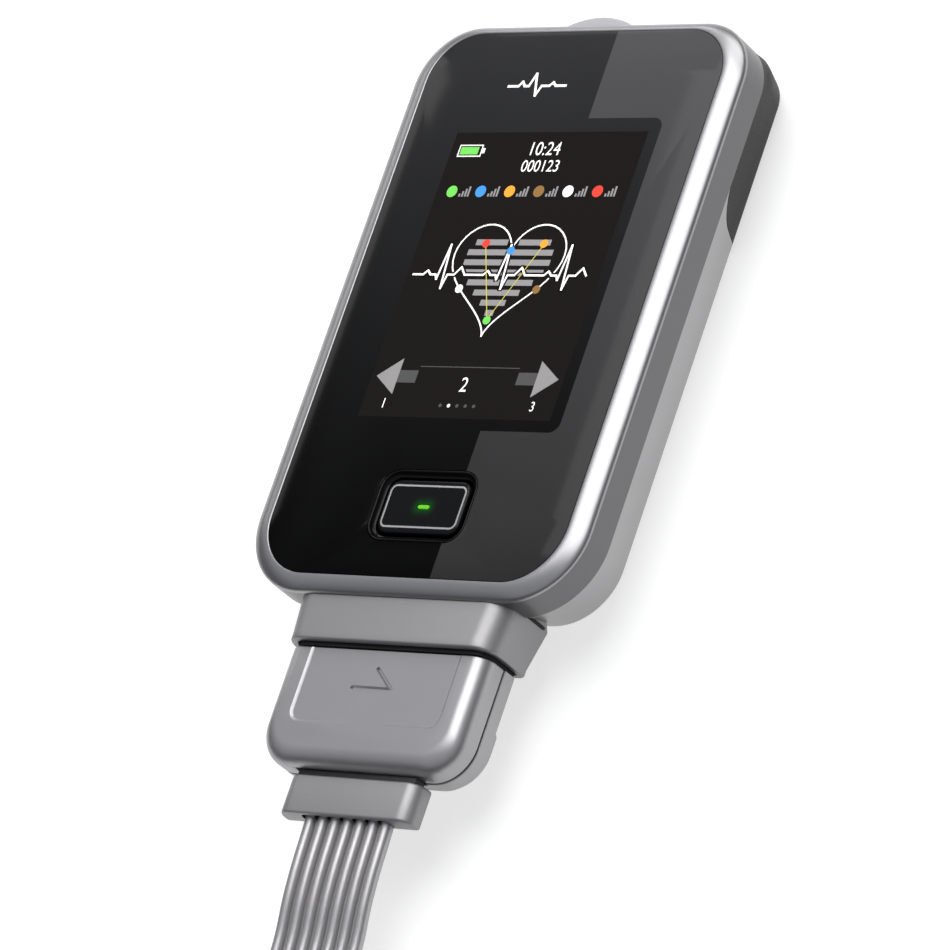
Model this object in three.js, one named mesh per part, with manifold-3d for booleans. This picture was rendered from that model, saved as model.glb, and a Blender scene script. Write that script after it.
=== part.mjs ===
// A pocket ECG recorder with a plugged-in seven-lead patient cable, lying on its back.
// Millimetres. +Z leaves the display, +Y points at the battery end, +X is the reader's right.
// The origin is on the surface under the middle of the recorder.
import * as THREE from 'three';
import { mergeVertices } from 'three/addons/utils/BufferGeometryUtils.js';
import Module from 'manifold-3d';

const wasm = await Module();
wasm.setup();

// Casing, seen from the front
const caseWidth = 63.2;
const caseLength = 97.4;
const caseThickness = 18.5;
const caseTopCorner = 10;
const collarCornerReach = 0.2;
const rimSide = 3.35;
const rimTop = 1.8;
const rimBottom = 2.6;
const rimDrop = 1.3;
const seamDepth = 6.3;
const backEdgeRadius = 4.5;
const caseWall = 2;
const frontWall = 1.2;
const seamGap = 0.3;

// Rings of the domed rim between crease and glass, as shares of its width
const rimShares = [0.7, 0.35, 0];

// The taper of the back: run per rise on the sides, and what the ends and corners take of it
const sideTaperShare = 0.444;
const endTaperShare = 0.75;
const cornerTaperShare = 0.5;

// Clearances and cutting
const fitGap = 0.3;
const cutOverrun = 1;
const weldDistance = 0.0005;

// Front glass
const plateThickness = 1.2;
const plateTopCorner = 8.3;
const plateCornerStep = 2.5;

// Display, a 2.4 inch portrait module between the cell and the front button
const moduleSideMargin = 10.25;
const moduleCellGap = 0.32;
const moduleButtonGap = 1.32;
const moduleFrame = 2.99;
const moduleTopMargin = 1.5;
const moduleBottomMargin = 7.4;
const moduleThickness = 2.6;
const bezelLip = 0.5;
const flexWidth = 16;
const flexThickness = 0.3;

// Front button
const buttonRise = 14.4;
const wellWidth = 18.4;
const wellLength = 11.8;
const wellCorner = 3.2;
const wellRing = 1.1;
const wellStandOut = 0.2;
const buttonWidth = 15.6;
const buttonLength = 9;
const buttonCorner = 2;
const buttonTopDrop = 0.3;
const buttonHeight = 2.8;
const buttonEdge = 0.5;
const buttonTravel = 0.8;
const stemWidth = 4.2;
const stemLength = 3.4;
const lightBarWidth = 2.2;
const lightBarLength = 0.6;
const lightBarDepth = 1.2;

// Switch under the front button
const switchSide = 6;
const switchHeight = 2.7;
const plungerDiameter = 3.2;
const plungerHeight = 1.7;
const plungerStandOut = 0.9;

// Event button in the top end
const eventStandOut = 2.7;
const eventWidth = 16;
const eventHeight = 3.4;
const eventArch = 13.8;
const eventFlange = 0.7;
const eventFlangeLip = 1.2;
const eventTravel = 0.8;
const eventSwitchWidth = 8;
const eventSwitchDepth = 1.2;
const eventSwitchHeight = 1.3;

// Battery, an AA cell that lies across the top end
const cellDiameter = 14.2;
const cellSideMargin = 7;
const cellNubDiameter = 5.5;
const cellNubLength = 1.2;
const cellEdge = 0.6;
const cellDrop = 11.7;
const cellGap = 0.25;
const cradleWall = 0.8;
const contactThickness = 0.5;
const contactWidth = 5.6;
const springWire = 0.6;
const springWideDiameter = 7;
const springTopDiameter = 4;
const springLength = 2.6;
const springTurns = 3;
const springSteps = 8;
const springSides = 5;

// Battery cover, the black back and top-end piece
const coverWall = 1;
const coverLength = 29.4;
const coverCorner = 5.5;
const bulgeLength = 17.5;
const bulgeEdgeRadius = 3.2;
const bulgeTaperShare = 0.4;
const bulgeSlope = 2;
const coverTravel = 36;

// Boards and what stands on them
const boardThickness = 1.6;
const boardHeight = 8.4;
const boardEndGap = 0.8;
const boardTopCorner = 2;
const shieldRailGap = 3.2;
const shieldLength = 22;
const shieldHeight = 3.5;
const shieldCorner = 1.5;
const buzzerDiameter = 9;
const buzzerHeight = 3;
const buzzerEndGap = 11.25;
const shieldBuzzerGap = 7.5;
const railWidth = 1.6;
const railLength = 34;
const railInset = 13.6;
const railEndGap = 6.25;
const ledWidth = 1.6;
const ledHeight = 0.8;

// Case screws
const screwDiameter = 2;
const screwHeadDiameter = 3.8;
const screwHeadHeight = 1.4;
const screwRecess = 1.2;
const screwLength = 12.6;
const bossDiameter = 6;
const postDiameter = 4.8;
const upperScrewInset = 7;
const upperScrewDrop = 35.9;
const lowerScrewSpreadShare = 0.6646;
const lowerScrewRise = 12;

// Socket collar at the bottom end
const collarReach = 7.2;
const collarWidth = 39.6;
const collarTopDrop = 1.7;
const collarDepth = 10.6;
const collarFrontCorner = 3.9;
const collarBackCorner = 1.5;
const collarWall = 1.2;
const collarFlange = 1.2;
const collarFlangeHeight = 2.4;
const collarFlangeLip = 1;
const collarSealLength = 0.6;
const collarSealLip = 0.5;

// Contacts inside the collar
const blockThickness = 2.5;
const pinCount = 10;
const pinPitch = 2.8;
const pinSize = 0.7;
const pinLength = 4;
const pinBase = 0.8;

// Cable plug
const shoulderGap = 0.8;
const plugLength = 18.7;
const plugWidth = 38;
const plugTopDrop = 3;
const plugFrontDepth = 4.6;
const plugRearDepth = 3.2;
const plugFrontEdge = 2.8;
const plugRearEdge = 1.2;
const plugCorner = 6;
const plugPanelWidth = 27.8;
const plugPanelLength = 11.7;
const plugPanelCorner = 1.6;
const plugPanelDrop = 0.3;
const gripLength = 5;
const gripHeight = 0.6;
const gripInset = 3;
const sealLength = 2.7;
const tongueWidth = 33;
const tongueHeight = 6;
const tongueLength = 7;
const tongueSlot = 2;
const plugTravel = 16;

// Yoke that fans the leads out of the plug
const yokeGap = 0.9;
const yokeWidth = 25.2;
const yokeLength = 6.2;
const yokeThickness = 3.6;
const yokeFrontCorner = 1.7;
const yokeBackCorner = 0.5;
const yokeDepth = 7;
const yokeNeckWidth = 22.4;
const yokeNeckThickness = 2.4;
const yokeNeckLength = 2.4;
const yokeHole = 2.8;
const yokeHoleDepth = 3;

// Seven leads, flat where they leave the yoke and rolled up on edge further on
const leadNames = ['red', 'white', 'brown', 'black', 'orange', 'blue', 'green'];
const leadDiameter = 2;
const leadPitch = 2.4;
const leadSides = 8;
const coilSides = 6;
const coilSteps = 24;
const coilRadius = 41;
const coilRise = 2.7;
const coilTurnShares = [2.75, 2.875, 3, 3.125, 3.25, 3.375, 3.5];
const dropDelayShare = 0.03;
const dropTurnShare = 0.11;
const flatLength = 24;
const twistDelay = 4;
const bendRadius = 30;
const joinTurnShare = 0.154;
const tailRadius = 15;
const tailTurnShare = 0.22;
const tailSteps = 6;
const leadEnd = 2.4;
const tieWidth = 4;
const tieThickness = 0.8;
const tieGap = 0.9;
const tieLift = 1.45;
const tieTurnShare = 0.625;
const tieSpreadShare = 0.12;

// Height of the flat ribbon's middle over the surface, by its distance from the yoke
const ribbonRoute = [
  [0, 11.5], [6, 10.9], [12, 9.9], [18, 8.75], [24, 8.35],
];

// Snap connectors
const snapDiameter = 10.5;
const snapHeight = 4.6;
const snapDome = 0.9;
const snapNeckLength = 6;
const snapNeckDiameter = 3.4;
const snapFlareShare = 0.75;
const snapSides = 16;

// Steps of the curved outlines
const cornerSteps = 5;
const edgeSteps = 3;
const smallSteps = 3;
const roundSides = 16;

// Heights of the casing
const frontZ = caseThickness;
const creaseZ = frontZ - rimDrop;
const seamZ = frontZ - seamDepth;
const plateBackZ = frontZ - plateThickness;
const frontWallTopZ = plateBackZ - fitGap;
const frontWallBackZ = frontWallTopZ - frontWall;

// Places along the recorder
const overallLength = caseLength + collarReach + eventStandOut;
const lipY = -overallLength / 2;
const caseBottomY = lipY + collarReach;
const caseTopY = caseBottomY + caseLength;
const halfWidth = caseWidth / 2;
const caseBottomCorner = (caseWidth - collarWidth) / 2 + collarCornerReach;
const plateBottomCorner = caseBottomCorner - plateCornerStep;
const buttonY = caseBottomY + buttonRise;
const cellY = caseTopY - cellDrop;
const cellZ = coverWall + fitGap + cellGap + cellDiameter / 2;
const cellLength = caseWidth - 2 * cellSideMargin;
const coverY = caseTopY - coverLength;
const bulgeY = caseTopY - bulgeLength;

// Materials
function finish(color, roughness, metalness) {
  return new THREE.MeshStandardMaterial({ color, roughness, metalness });
}

const silverPaint = finish(0x9b999c, 0.42, 0.25);
const blackPlastic = finish(0x232324, 0.5, 0);
const glassBlack = finish(0x0c0c0d, 0.12, 0);
const glossBlack = finish(0x101011, 0.25, 0);
const paleKey = finish(0xc9c6ca, 0.45, 0);
const greenLight = finish(0x22c53a, 0.4, 0);
const boardGreen = finish(0x1d5a34, 0.55, 0);
const steel = finish(0xb9bbbd, 0.3, 0.9);
const goldPlate = finish(0xc9a548, 0.3, 0.9);
const cellJacket = finish(0x2c5f8a, 0.4, 0.3);
const blackRubber = finish(0x141414, 0.75, 0);
const flexFilm = finish(0xb07a2c, 0.5, 0);
const greyJacket = finish(0x8f8e90, 0.5, 0);
const snapColors = {
  red: 0xc8302a, white: 0xe4e2de, brown: 0x6b4a2f, black: 0x1c1c1d,
  orange: 0xe08a2c, blue: 0x2f7fc4, green: 0x4fae3c,
};

// Solids
function solidOf(geometry) {
  const bare = geometry.clone();
  for (const name of Object.keys(bare.attributes)) {
    if (name !== 'position') bare.deleteAttribute(name);
  }
  const merged = mergeVertices(bare, weldDistance);
  return new wasm.Manifold(new wasm.Mesh({
    numProp: 3,
    vertProperties: new Float32Array(merged.attributes.position.array),
    triVerts: new Uint32Array(merged.index.array),
  }));
}

function geometryOf(solid) {
  const mesh = solid.getMesh();
  const geometry = new THREE.BufferGeometry();
  geometry.setAttribute('position', new THREE.BufferAttribute(Float32Array.from(mesh.vertProperties), 3));
  geometry.setIndex(new THREE.BufferAttribute(Uint32Array.from(mesh.triVerts), 1));
  geometry.computeVertexNormals();
  return geometry;
}

function box(lowX, highX, lowY, highY, lowZ, highZ) {
  const geometry = new THREE.BoxGeometry(highX - lowX, highY - lowY, highZ - lowZ);
  geometry.translate((lowX + highX) / 2, (lowY + highY) / 2, (lowZ + highZ) / 2);
  return solidOf(geometry);
}

// A cylinder from one height to another along X, Y or Z
function rod(axis, diameter, low, high, first, second, sides = roundSides) {
  const geometry = new THREE.CylinderGeometry(diameter / 2, diameter / 2, high - low, sides);
  const middle = (low + high) / 2;
  if (axis === 'x') {
    geometry.rotateZ(Math.PI / 2);
    geometry.translate(middle, first, second);
  } else if (axis === 'y') {
    geometry.translate(first, middle, second);
  } else {
    geometry.rotateX(Math.PI / 2);
    geometry.translate(first, second, middle);
  }
  return solidOf(geometry);
}

// A rounded outline with its own radius on each pair of corners, anticlockwise
function outline(half, lowY, highY, lowRadius, highRadius, steps = cornerSteps) {
  const corners = [
    [half - highRadius, highY - highRadius, highRadius, 0],
    [-half + highRadius, highY - highRadius, highRadius, 1],
    [-half + lowRadius, lowY + lowRadius, lowRadius, 2],
    [half - lowRadius, lowY + lowRadius, lowRadius, 3],
  ];
  const points = [];
  for (const [x, y, radius, quarter] of corners) {
    for (let step = 0; step <= steps; step += 1) {
      const angle = (quarter + step / steps) * Math.PI / 2;
      points.push(new THREE.Vector2(x + radius * Math.cos(angle), y + radius * Math.sin(angle)));
    }
  }
  return points;
}

// A closed body through outlines of the same count, each at its own height
function loft(rings) {
  const positions = [];
  const indices = [];
  const count = rings[0].points.length;
  for (const ring of rings) {
    for (const point of ring.points) positions.push(point.x, point.y, ring.z);
  }
  for (let level = 0; level < rings.length - 1; level += 1) {
    for (let side = 0; side < count; side += 1) {
      const a = level * count + side;
      const b = level * count + (side + 1) % count;
      indices.push(a, b, b + count, a, b + count, a + count);
    }
  }
  const last = (rings.length - 1) * count;
  for (const [a, b, c] of THREE.ShapeUtils.triangulateShape(rings[0].points, [])) indices.push(a, c, b);
  for (const [a, b, c] of THREE.ShapeUtils.triangulateShape(rings[rings.length - 1].points, [])) {
    indices.push(last + a, last + b, last + c);
  }
  const geometry = new THREE.BufferGeometry();
  geometry.setAttribute('position', new THREE.Float32BufferAttribute(positions, 3));
  geometry.setIndex(indices);
  return solidOf(geometry);
}

function prism(points, lowZ, highZ) {
  return loft([{ points, z: lowZ }, { points, z: highZ }]);
}

// A prism along Y from an outline drawn in X and Z
function prismAlongY(points, lowY, highY) {
  return prism(points.map((point) => new THREE.Vector2(point.x, -point.y)).reverse(), lowY, highY)
    .rotate([-90, 0, 0]);
}

// A prism along X from an outline drawn in Y and Z
function prismAlongX(points, lowX, highX) {
  return prism(points, lowX, highX).rotate([90, 0, 90]);
}

// The recorder's outline at a height, drawn in by a length at the sides
function caseOutline(inset) {
  return outline(
    halfWidth - inset,
    caseBottomY + inset * endTaperShare,
    caseTopY - inset * endTaperShare,
    Math.max(caseBottomCorner - inset * cornerTaperShare, fitGap),
    Math.max(caseTopCorner - inset * cornerTaperShare, fitGap),
  );
}

// The back half as a solid: a tapered wall on a rounded back edge, drawn in all round by a length
function backHalf(inset, topZ, taper = sideTaperShare, radius = backEdgeRadius) {
  const slant = Math.hypot(1, taper);
  const tangentZ = radius * (1 - taper / slant);
  const centreInset = taper * (seamZ - tangentZ) + radius / slant;
  const endAngle = Math.asin(1 / slant);
  const rings = [];
  for (let step = 0; step <= edgeSteps; step += 1) {
    const angle = endAngle * step / edgeSteps;
    rings.push({
      points: caseOutline(centreInset - (radius - inset) * Math.sin(angle)),
      z: radius - (radius - inset) * Math.cos(angle),
    });
  }
  rings.push({ points: caseOutline(taper * (seamZ - topZ) + inset * slant), z: topZ });
  return loft(rings);
}

// The front half as a solid, with the domed rim round the glass
function frontHalf() {
  const plate = plateOutline(0);
  const crease = caseOutline(0);
  const rings = [{ points: crease, z: seamZ }, { points: crease, z: creaseZ }];
  for (const share of rimShares) {
    rings.push({
      points: crease.map((point, index) => plate[index].clone().lerp(point, share)),
      z: frontZ - rimDrop * share * share,
    });
  }
  return loft(rings);
}

function plateOutline(gap) {
  return outline(
    halfWidth - rimSide - gap,
    caseBottomY + rimBottom + gap,
    caseTopY - rimTop - gap,
    plateBottomCorner - gap,
    plateTopCorner - gap,
  );
}

// A rounded rectangle about a middle point
function padOutline(width, length, corner, middleX, middleY, steps = smallSteps) {
  return outline(width / 2, -length / 2, length / 2, corner, corner, steps)
    .map((point) => new THREE.Vector2(point.x + middleX, point.y + middleY));
}

// Display module: it reaches from the button's ring up to the flank of the cell's cradle
const pocketRadius = cellDiameter / 2 + cellGap;
const cradleRadius = pocketRadius + cradleWall;
const moduleTopZ = frontWallTopZ;
const moduleBackZ = moduleTopZ - moduleThickness;
const flank = Math.max((cradleRadius + moduleCellGap) ** 2 - (moduleBackZ - cellZ) ** 2, 0);
const moduleLowY = buttonY + wellLength / 2 + moduleButtonGap;
const moduleHighY = cellY - Math.sqrt(flank);
const moduleWidth = caseWidth - 2 * moduleSideMargin;
const screenWidth = moduleWidth - 2 * moduleFrame;
const screenLowY = moduleLowY + moduleBottomMargin;
const screenHighY = moduleHighY - moduleTopMargin;
const screenY = (screenLowY + screenHighY) / 2;

function makeDisplayModule() {
  const body = box(-moduleWidth / 2, moduleWidth / 2, moduleLowY, moduleHighY, moduleBackZ, moduleTopZ);
  const picture = box(
    -screenWidth / 2, screenWidth / 2, screenLowY, screenHighY,
    moduleTopZ - bezelLip, moduleTopZ + cutOverrun,
  );
  return body.subtract(picture);
}

// The film cable leaves the module's lower end, turns back and drops to the board
const boardTopZ = boardHeight + boardThickness;

function makeDisplayFlex() {
  const highZ = moduleBackZ + 2 * flexThickness;
  const lowZ = boardTopZ + fitGap;
  const radius = (highZ - lowZ) / 2;
  const points = [];
  const bend = 2 * smallSteps;
  for (let step = 0; step <= bend; step += 1) {
    const angle = Math.PI / 2 + Math.PI * step / bend;
    points.push([Math.cos(angle) * radius, Math.sin(angle) * radius]);
  }
  const middleZ = (highZ + lowZ) / 2;
  const startY = moduleLowY - fitGap;
  const outer = points.map(([y, z]) => new THREE.Vector2(startY + y, middleZ + z));
  const scale = (radius - flexThickness) / radius;
  const inner = points.map(([y, z]) => new THREE.Vector2(startY + y * scale, middleZ + z * scale));
  const tailY = startY + radius;
  const shape = [
    ...outer,
    new THREE.Vector2(tailY, lowZ),
    new THREE.Vector2(tailY, lowZ + flexThickness),
    ...inner.reverse(),
  ];
  return prismAlongX(shape, -flexWidth / 2, flexWidth / 2);
}

// Front button with its ring, light bar, plunger and switch
const buttonTopZ = frontZ - buttonTopDrop;
const buttonBackZ = buttonTopZ - buttonHeight;
const switchTopZ = boardTopZ + fitGap + switchHeight;
const plungerTopZ = switchTopZ + plungerStandOut;

function makeButtonBezel() {
  const outer = padOutline(wellWidth, wellLength, wellCorner, 0, buttonY);
  const bevel = padOutline(
    wellWidth - wellRing / 2, wellLength - wellRing / 2, wellCorner - wellRing / 4, 0, buttonY,
  );
  const inner = padOutline(
    wellWidth - 2 * wellRing, wellLength - 2 * wellRing, wellCorner - wellRing, 0, buttonY,
  );
  const ring = loft([
    { points: outer, z: plateBackZ },
    { points: outer, z: frontZ },
    { points: bevel, z: frontZ + wellStandOut },
  ]);
  return ring.subtract(prism(inner, plateBackZ - cutOverrun, frontZ + cutOverrun));
}

function makeFrontButton() {
  const outer = padOutline(buttonWidth, buttonLength, buttonCorner, 0, buttonY);
  const crown = padOutline(
    buttonWidth - 2 * buttonEdge, buttonLength - 2 * buttonEdge, buttonCorner - buttonEdge, 0, buttonY,
  );
  const cap = loft([
    { points: outer, z: buttonBackZ },
    { points: outer, z: buttonTopZ - buttonEdge },
    { points: crown, z: buttonTopZ },
  ]);
  const stem = box(
    -stemWidth / 2, stemWidth / 2, buttonY - stemLength / 2, buttonY + stemLength / 2,
    plungerTopZ + fitGap, buttonBackZ + fitGap,
  );
  const slot = box(
    -lightBarWidth / 2 - fitGap, lightBarWidth / 2 + fitGap,
    buttonY - lightBarLength / 2 - fitGap, buttonY + lightBarLength / 2 + fitGap,
    buttonTopZ - lightBarDepth - fitGap, buttonTopZ + cutOverrun,
  );
  return cap.add(stem).subtract(slot);
}

function makeLightBar() {
  return box(
    -lightBarWidth / 2, lightBarWidth / 2, buttonY - lightBarLength / 2, buttonY + lightBarLength / 2,
    buttonTopZ - lightBarDepth, buttonTopZ,
  );
}

function makePlunger() {
  return rod('z', plungerDiameter, plungerTopZ - plungerHeight, plungerTopZ, 0, buttonY);
}

function makeFrontSwitch() {
  const body = box(
    -switchSide / 2, switchSide / 2, buttonY - switchSide / 2, buttonY + switchSide / 2,
    boardTopZ + fitGap, switchTopZ,
  );
  const boreFloor = plungerTopZ - plungerHeight - buttonTravel - fitGap;
  return body.subtract(
    rod('z', plungerDiameter + 2 * fitGap, boreFloor, switchTopZ + cutOverrun, 0, buttonY),
  );
}

function makeStatusLed() {
  const left = switchSide / 2 + ledWidth / 2;
  return box(
    left, left + ledWidth, buttonY - ledWidth / 2, buttonY + ledWidth / 2,
    boardTopZ + fitGap, boardTopZ + fitGap + ledHeight,
  );
}

// Event button: an arched bar that comes through the top end wall
const eventZ = (creaseZ + seamZ) / 2;
const eventWallY = caseTopY - caseWall;
const eventFlangeY = eventWallY - fitGap;
const eventBackY = eventFlangeY - eventFlange;
const eventSwitchY = eventBackY - eventTravel - fitGap;
const eventSwitchTopZ = frontWallBackZ - fitGap;

function makeEventButton() {
  const half = eventWidth / 2;
  const centreY = caseTopY + eventStandOut - eventArch;
  const reach = Math.asin(half / eventArch);
  const steps = 2 * cornerSteps;
  const points = [];
  for (let step = 0; step <= steps; step += 1) {
    const angle = Math.PI / 2 - reach + 2 * reach * step / steps;
    points.push(new THREE.Vector2(eventArch * Math.cos(angle), centreY + eventArch * Math.sin(angle)));
  }
  points.push(new THREE.Vector2(-half, eventBackY));
  points.push(new THREE.Vector2(half, eventBackY));
  const arch = prism(points, eventZ - eventHeight / 2, eventZ + eventHeight / 2);
  const flange = box(
    -half - eventFlangeLip, half + eventFlangeLip, eventBackY, eventFlangeY,
    eventZ - eventHeight / 2, eventSwitchTopZ,
  );
  return arch.add(flange);
}

function makeEventSwitch() {
  return box(
    -eventSwitchWidth / 2, eventSwitchWidth / 2, eventSwitchY - eventSwitchDepth, eventSwitchY,
    eventSwitchTopZ - eventSwitchHeight, eventSwitchTopZ,
  );
}

// Battery bay: the cradle of the back shell, the cell, its spring and its plate
const plateX = cellLength / 2 + cellNubLength / 2 + fitGap;
const pocketHighX = plateX + contactThickness + fitGap;
const springX = -cellLength / 2 - cellNubLength / 2 - fitGap;
const pocketLowX = springX - springLength - springWire - fitGap;
const pocketShift = (pocketHighX + pocketLowX) / 2;

function makeCell() {
  const low = -cellLength / 2 - cellNubLength / 2 - pocketShift;
  const high = low + cellLength;
  const radius = cellDiameter / 2;
  const nub = cellNubDiameter / 2;
  const profile = [
    [0, low], [radius - cellEdge, low], [radius, low + cellEdge],
    [radius, high - cellEdge], [radius - cellEdge, high], [nub, high],
    [nub, high + cellNubLength], [0, high + cellNubLength],
  ].map(([x, y]) => new THREE.Vector2(x, y));
  const geometry = new THREE.LatheGeometry(profile, roundSides);
  geometry.rotateZ(-Math.PI / 2);
  geometry.translate(0, cellY, cellZ);
  return solidOf(geometry);
}

function makeContactPlate() {
  const low = plateX - pocketShift;
  return box(low, low + contactThickness, cellY - contactWidth / 2, cellY + contactWidth / 2,
    cellZ - contactWidth / 2, cellZ + contactWidth / 2);
}

// A route through listed points, so that an extrusion has its steps exactly there
class Route extends THREE.Curve {
  constructor(points) {
    super();
    this.points = points;
  }

  getPoint(share, target = new THREE.Vector3()) {
    const place = THREE.MathUtils.clamp(share, 0, 1) * (this.points.length - 1);
    const index = Math.min(Math.floor(place), this.points.length - 2);
    return target.lerpVectors(this.points[index], this.points[index + 1], place - index);
  }

  getUtoTmapping(share) {
    return share;
  }
}

// A tube through a list of points, with flat ends, as one closed body
function tube(points, radius, sides) {
  const section = new THREE.Shape();
  for (let corner = 0; corner < sides; corner += 1) {
    const angle = 2 * Math.PI * corner / sides;
    const x = radius * Math.cos(angle);
    const y = radius * Math.sin(angle);
    if (corner === 0) section.moveTo(x, y);
    else section.lineTo(x, y);
  }
  section.closePath();
  return new THREE.ExtrudeGeometry(section, {
    steps: points.length - 1,
    bevelEnabled: false,
    extrudePath: new Route(points),
  });
}

// The conical spring at the cell's flat end, one wire from the wall to the cell
function makeSpring() {
  const start = springX - springWire / 2 - springLength - pocketShift;
  const count = springTurns * springSteps;
  const path = [];
  for (let step = 0; step <= count; step += 1) {
    const share = step / count;
    const angle = 2 * Math.PI * springTurns * share;
    const radius = THREE.MathUtils.lerp(springWideDiameter, springTopDiameter, share) / 2;
    path.push(new THREE.Vector3(
      start + springLength * share, cellY + radius * Math.cos(angle), cellZ + radius * Math.sin(angle),
    ));
  }
  return tube(path, springWire / 2, springSides);
}

// The region of the back that the battery cover takes, as a prism along X
function coverRegion(grow) {
  const lowY = coverY - grow;
  const radius = coverCorner + grow;
  const points = [new THREE.Vector2(caseTopY + cutOverrun, -cutOverrun)];
  points.push(new THREE.Vector2(caseTopY + cutOverrun, seamZ + cutOverrun));
  points.push(new THREE.Vector2(coverY + coverCorner, seamZ + cutOverrun));
  for (let step = 0; step <= cornerSteps; step += 1) {
    const angle = Math.PI / 2 * (1 + step / cornerSteps);
    points.push(new THREE.Vector2(
      coverY + coverCorner + radius * Math.cos(angle),
      shellTopZ - coverCorner + radius * Math.sin(angle),
    ));
  }
  points.push(new THREE.Vector2(lowY, -cutOverrun));
  return prismAlongX(points, -halfWidth - cutOverrun, halfWidth + cutOverrun);
}

// The slab over the cell, with a sloping lower face, where the cover stands fuller
function bulgeRegion() {
  const points = [
    new THREE.Vector2(bulgeY, -cutOverrun),
    new THREE.Vector2(caseTopY + cutOverrun, -cutOverrun),
    new THREE.Vector2(caseTopY + cutOverrun, seamZ + cutOverrun),
    new THREE.Vector2(bulgeY + bulgeSlope, seamZ + cutOverrun),
  ];
  return prismAlongX(points, -halfWidth - cutOverrun, halfWidth + cutOverrun);
}

function fullerBack(inset, topZ) {
  return backHalf(inset, topZ, bulgeTaperShare, bulgeEdgeRadius).intersect(bulgeRegion());
}

function coveredBack(inset, topZ) {
  return backHalf(inset, topZ).add(fullerBack(inset, topZ));
}

const shellTopZ = seamZ - seamGap;

function makeBatteryCover() {
  const shell = coveredBack(0, shellTopZ).intersect(coverRegion(0));
  return shell.subtract(coveredBack(coverWall, shellTopZ + cutOverrun));
}

// Screws from the back into the posts of the front shell
const screws = [
  [-halfWidth * lowerScrewSpreadShare, caseBottomY + lowerScrewRise],
  [halfWidth * lowerScrewSpreadShare, caseBottomY + lowerScrewRise],
  [upperScrewInset - halfWidth, caseTopY - upperScrewDrop],
  [halfWidth - upperScrewInset, caseTopY - upperScrewDrop],
];
const screwHeadZ = screwRecess + screwHeadHeight;
const bossTopZ = shellTopZ - fitGap;

function makeScrew(x, y) {
  const head = rod('z', screwHeadDiameter, screwRecess, screwHeadZ, x, y);
  const shaft = rod('z', screwDiameter, screwHeadZ - fitGap, screwHeadZ + screwLength, x, y, smallSteps * 4);
  return head.add(shaft);
}

// Socket collar, with a flange inside the end wall
const collarTopZ = frontZ - collarTopDrop;
const collarLowZ = collarTopZ - collarDepth;
const collarInnerY = caseBottomY + caseWall + fitGap;
const collarBackY = collarInnerY + collarFlange;

function collarSection(grow) {
  const half = collarWidth / 2 + grow;
  return outline(
    half, collarLowZ - grow, collarTopZ + grow,
    collarBackCorner + grow, collarFrontCorner + grow,
  );
}

function makeCollar() {
  const sleeve = prismAlongY(collarSection(0), lipY, collarBackY);
  const bore = prismAlongY(collarSection(-collarWall), lipY - cutOverrun, collarBackY + cutOverrun);
  return sleeve.add(collarFlangeBar(0)).subtract(bore);
}

// The bar across the sleeve whose ends catch behind the end wall
function collarFlangeBar(grow) {
  return box(
    -collarWidth / 2 - collarFlangeLip - grow, collarWidth / 2 + collarFlangeLip + grow,
    collarInnerY - grow, collarBackY + grow,
    shellTopZ - collarFlangeHeight - grow, collarTopZ - collarFrontCorner + grow,
  );
}

// The black seal under and beside the collar's root, in a groove of the back shell
function makeCollarSeal() {
  const lowY = caseBottomY + fitGap;
  const highY = lowY + collarSealLength;
  const outer = prismAlongY(collarSection(fitGap + collarSealLip), lowY, highY);
  const below = box(-halfWidth, halfWidth, lowY - cutOverrun, highY + cutOverrun, 0, shellTopZ);
  return outer.subtract(prismAlongY(collarSection(fitGap), lowY - cutOverrun, highY + cutOverrun))
    .intersect(below);
}

// What the end walls leave out for the collar, and what the back one does for the seal
function collarPassage() {
  return prismAlongY(collarSection(fitGap), caseBottomY - cutOverrun, collarBackY + cutOverrun)
    .add(collarFlangeBar(fitGap));
}

function collarSealGroove() {
  return prismAlongY(
    collarSection(2 * fitGap + collarSealLip), caseBottomY - cutOverrun,
    caseBottomY + 2 * fitGap + collarSealLength,
  );
}

function makeFrontShell() {
  const cavity = prism(caseOutline(caseWall), seamZ - cutOverrun, frontWallBackZ);
  const glassSeat = prism(plateOutline(-fitGap), frontWallTopZ, frontZ + cutOverrun);
  const window = box(
    -moduleWidth / 2 - fitGap, moduleWidth / 2 + fitGap, moduleLowY - fitGap, moduleHighY + fitGap,
    frontWallBackZ - cutOverrun, frontWallTopZ + cutOverrun,
  );
  const buttonHole = prism(
    padOutline(buttonWidth + 2 * fitGap, buttonLength + 2 * fitGap, buttonCorner, 0, buttonY),
    frontWallBackZ - cutOverrun, frontWallTopZ + cutOverrun,
  );
  const vault = Math.sqrt((cradleRadius + fitGap) ** 2 - (frontWallBackZ - cellZ) ** 2) + fitGap;
  const cellHole = box(
    pocketLowX - pocketShift - cradleWall - fitGap, pocketHighX - pocketShift + cradleWall + fitGap,
    cellY - vault, cellY + vault, frontWallBackZ - cutOverrun, frontWallTopZ + cutOverrun,
  );
  const eventSlot = box(
    -eventWidth / 2 - fitGap, eventWidth / 2 + fitGap, eventSwitchY, caseTopY + cutOverrun,
    eventZ - eventHeight / 2 - fitGap, eventZ + eventHeight / 2 + fitGap,
  );
  let shell = frontHalf().subtract(cavity).subtract(glassSeat);
  shell = shell.subtract(window).subtract(buttonHole).subtract(cellHole).subtract(eventSlot);
  for (const [x, y] of screws) {
    const post = rod('z', postDiameter, seamZ, frontWallTopZ - fitGap, x, y);
    const bore = rod('z', screwDiameter + 2 * fitGap, seamZ - cutOverrun,
      screwHeadZ + screwLength + fitGap, x, y, smallSteps * 4);
    shell = shell.add(post.intersect(frontHalf())).subtract(bore);
  }
  return shell.subtract(collarPassage());
}

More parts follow.
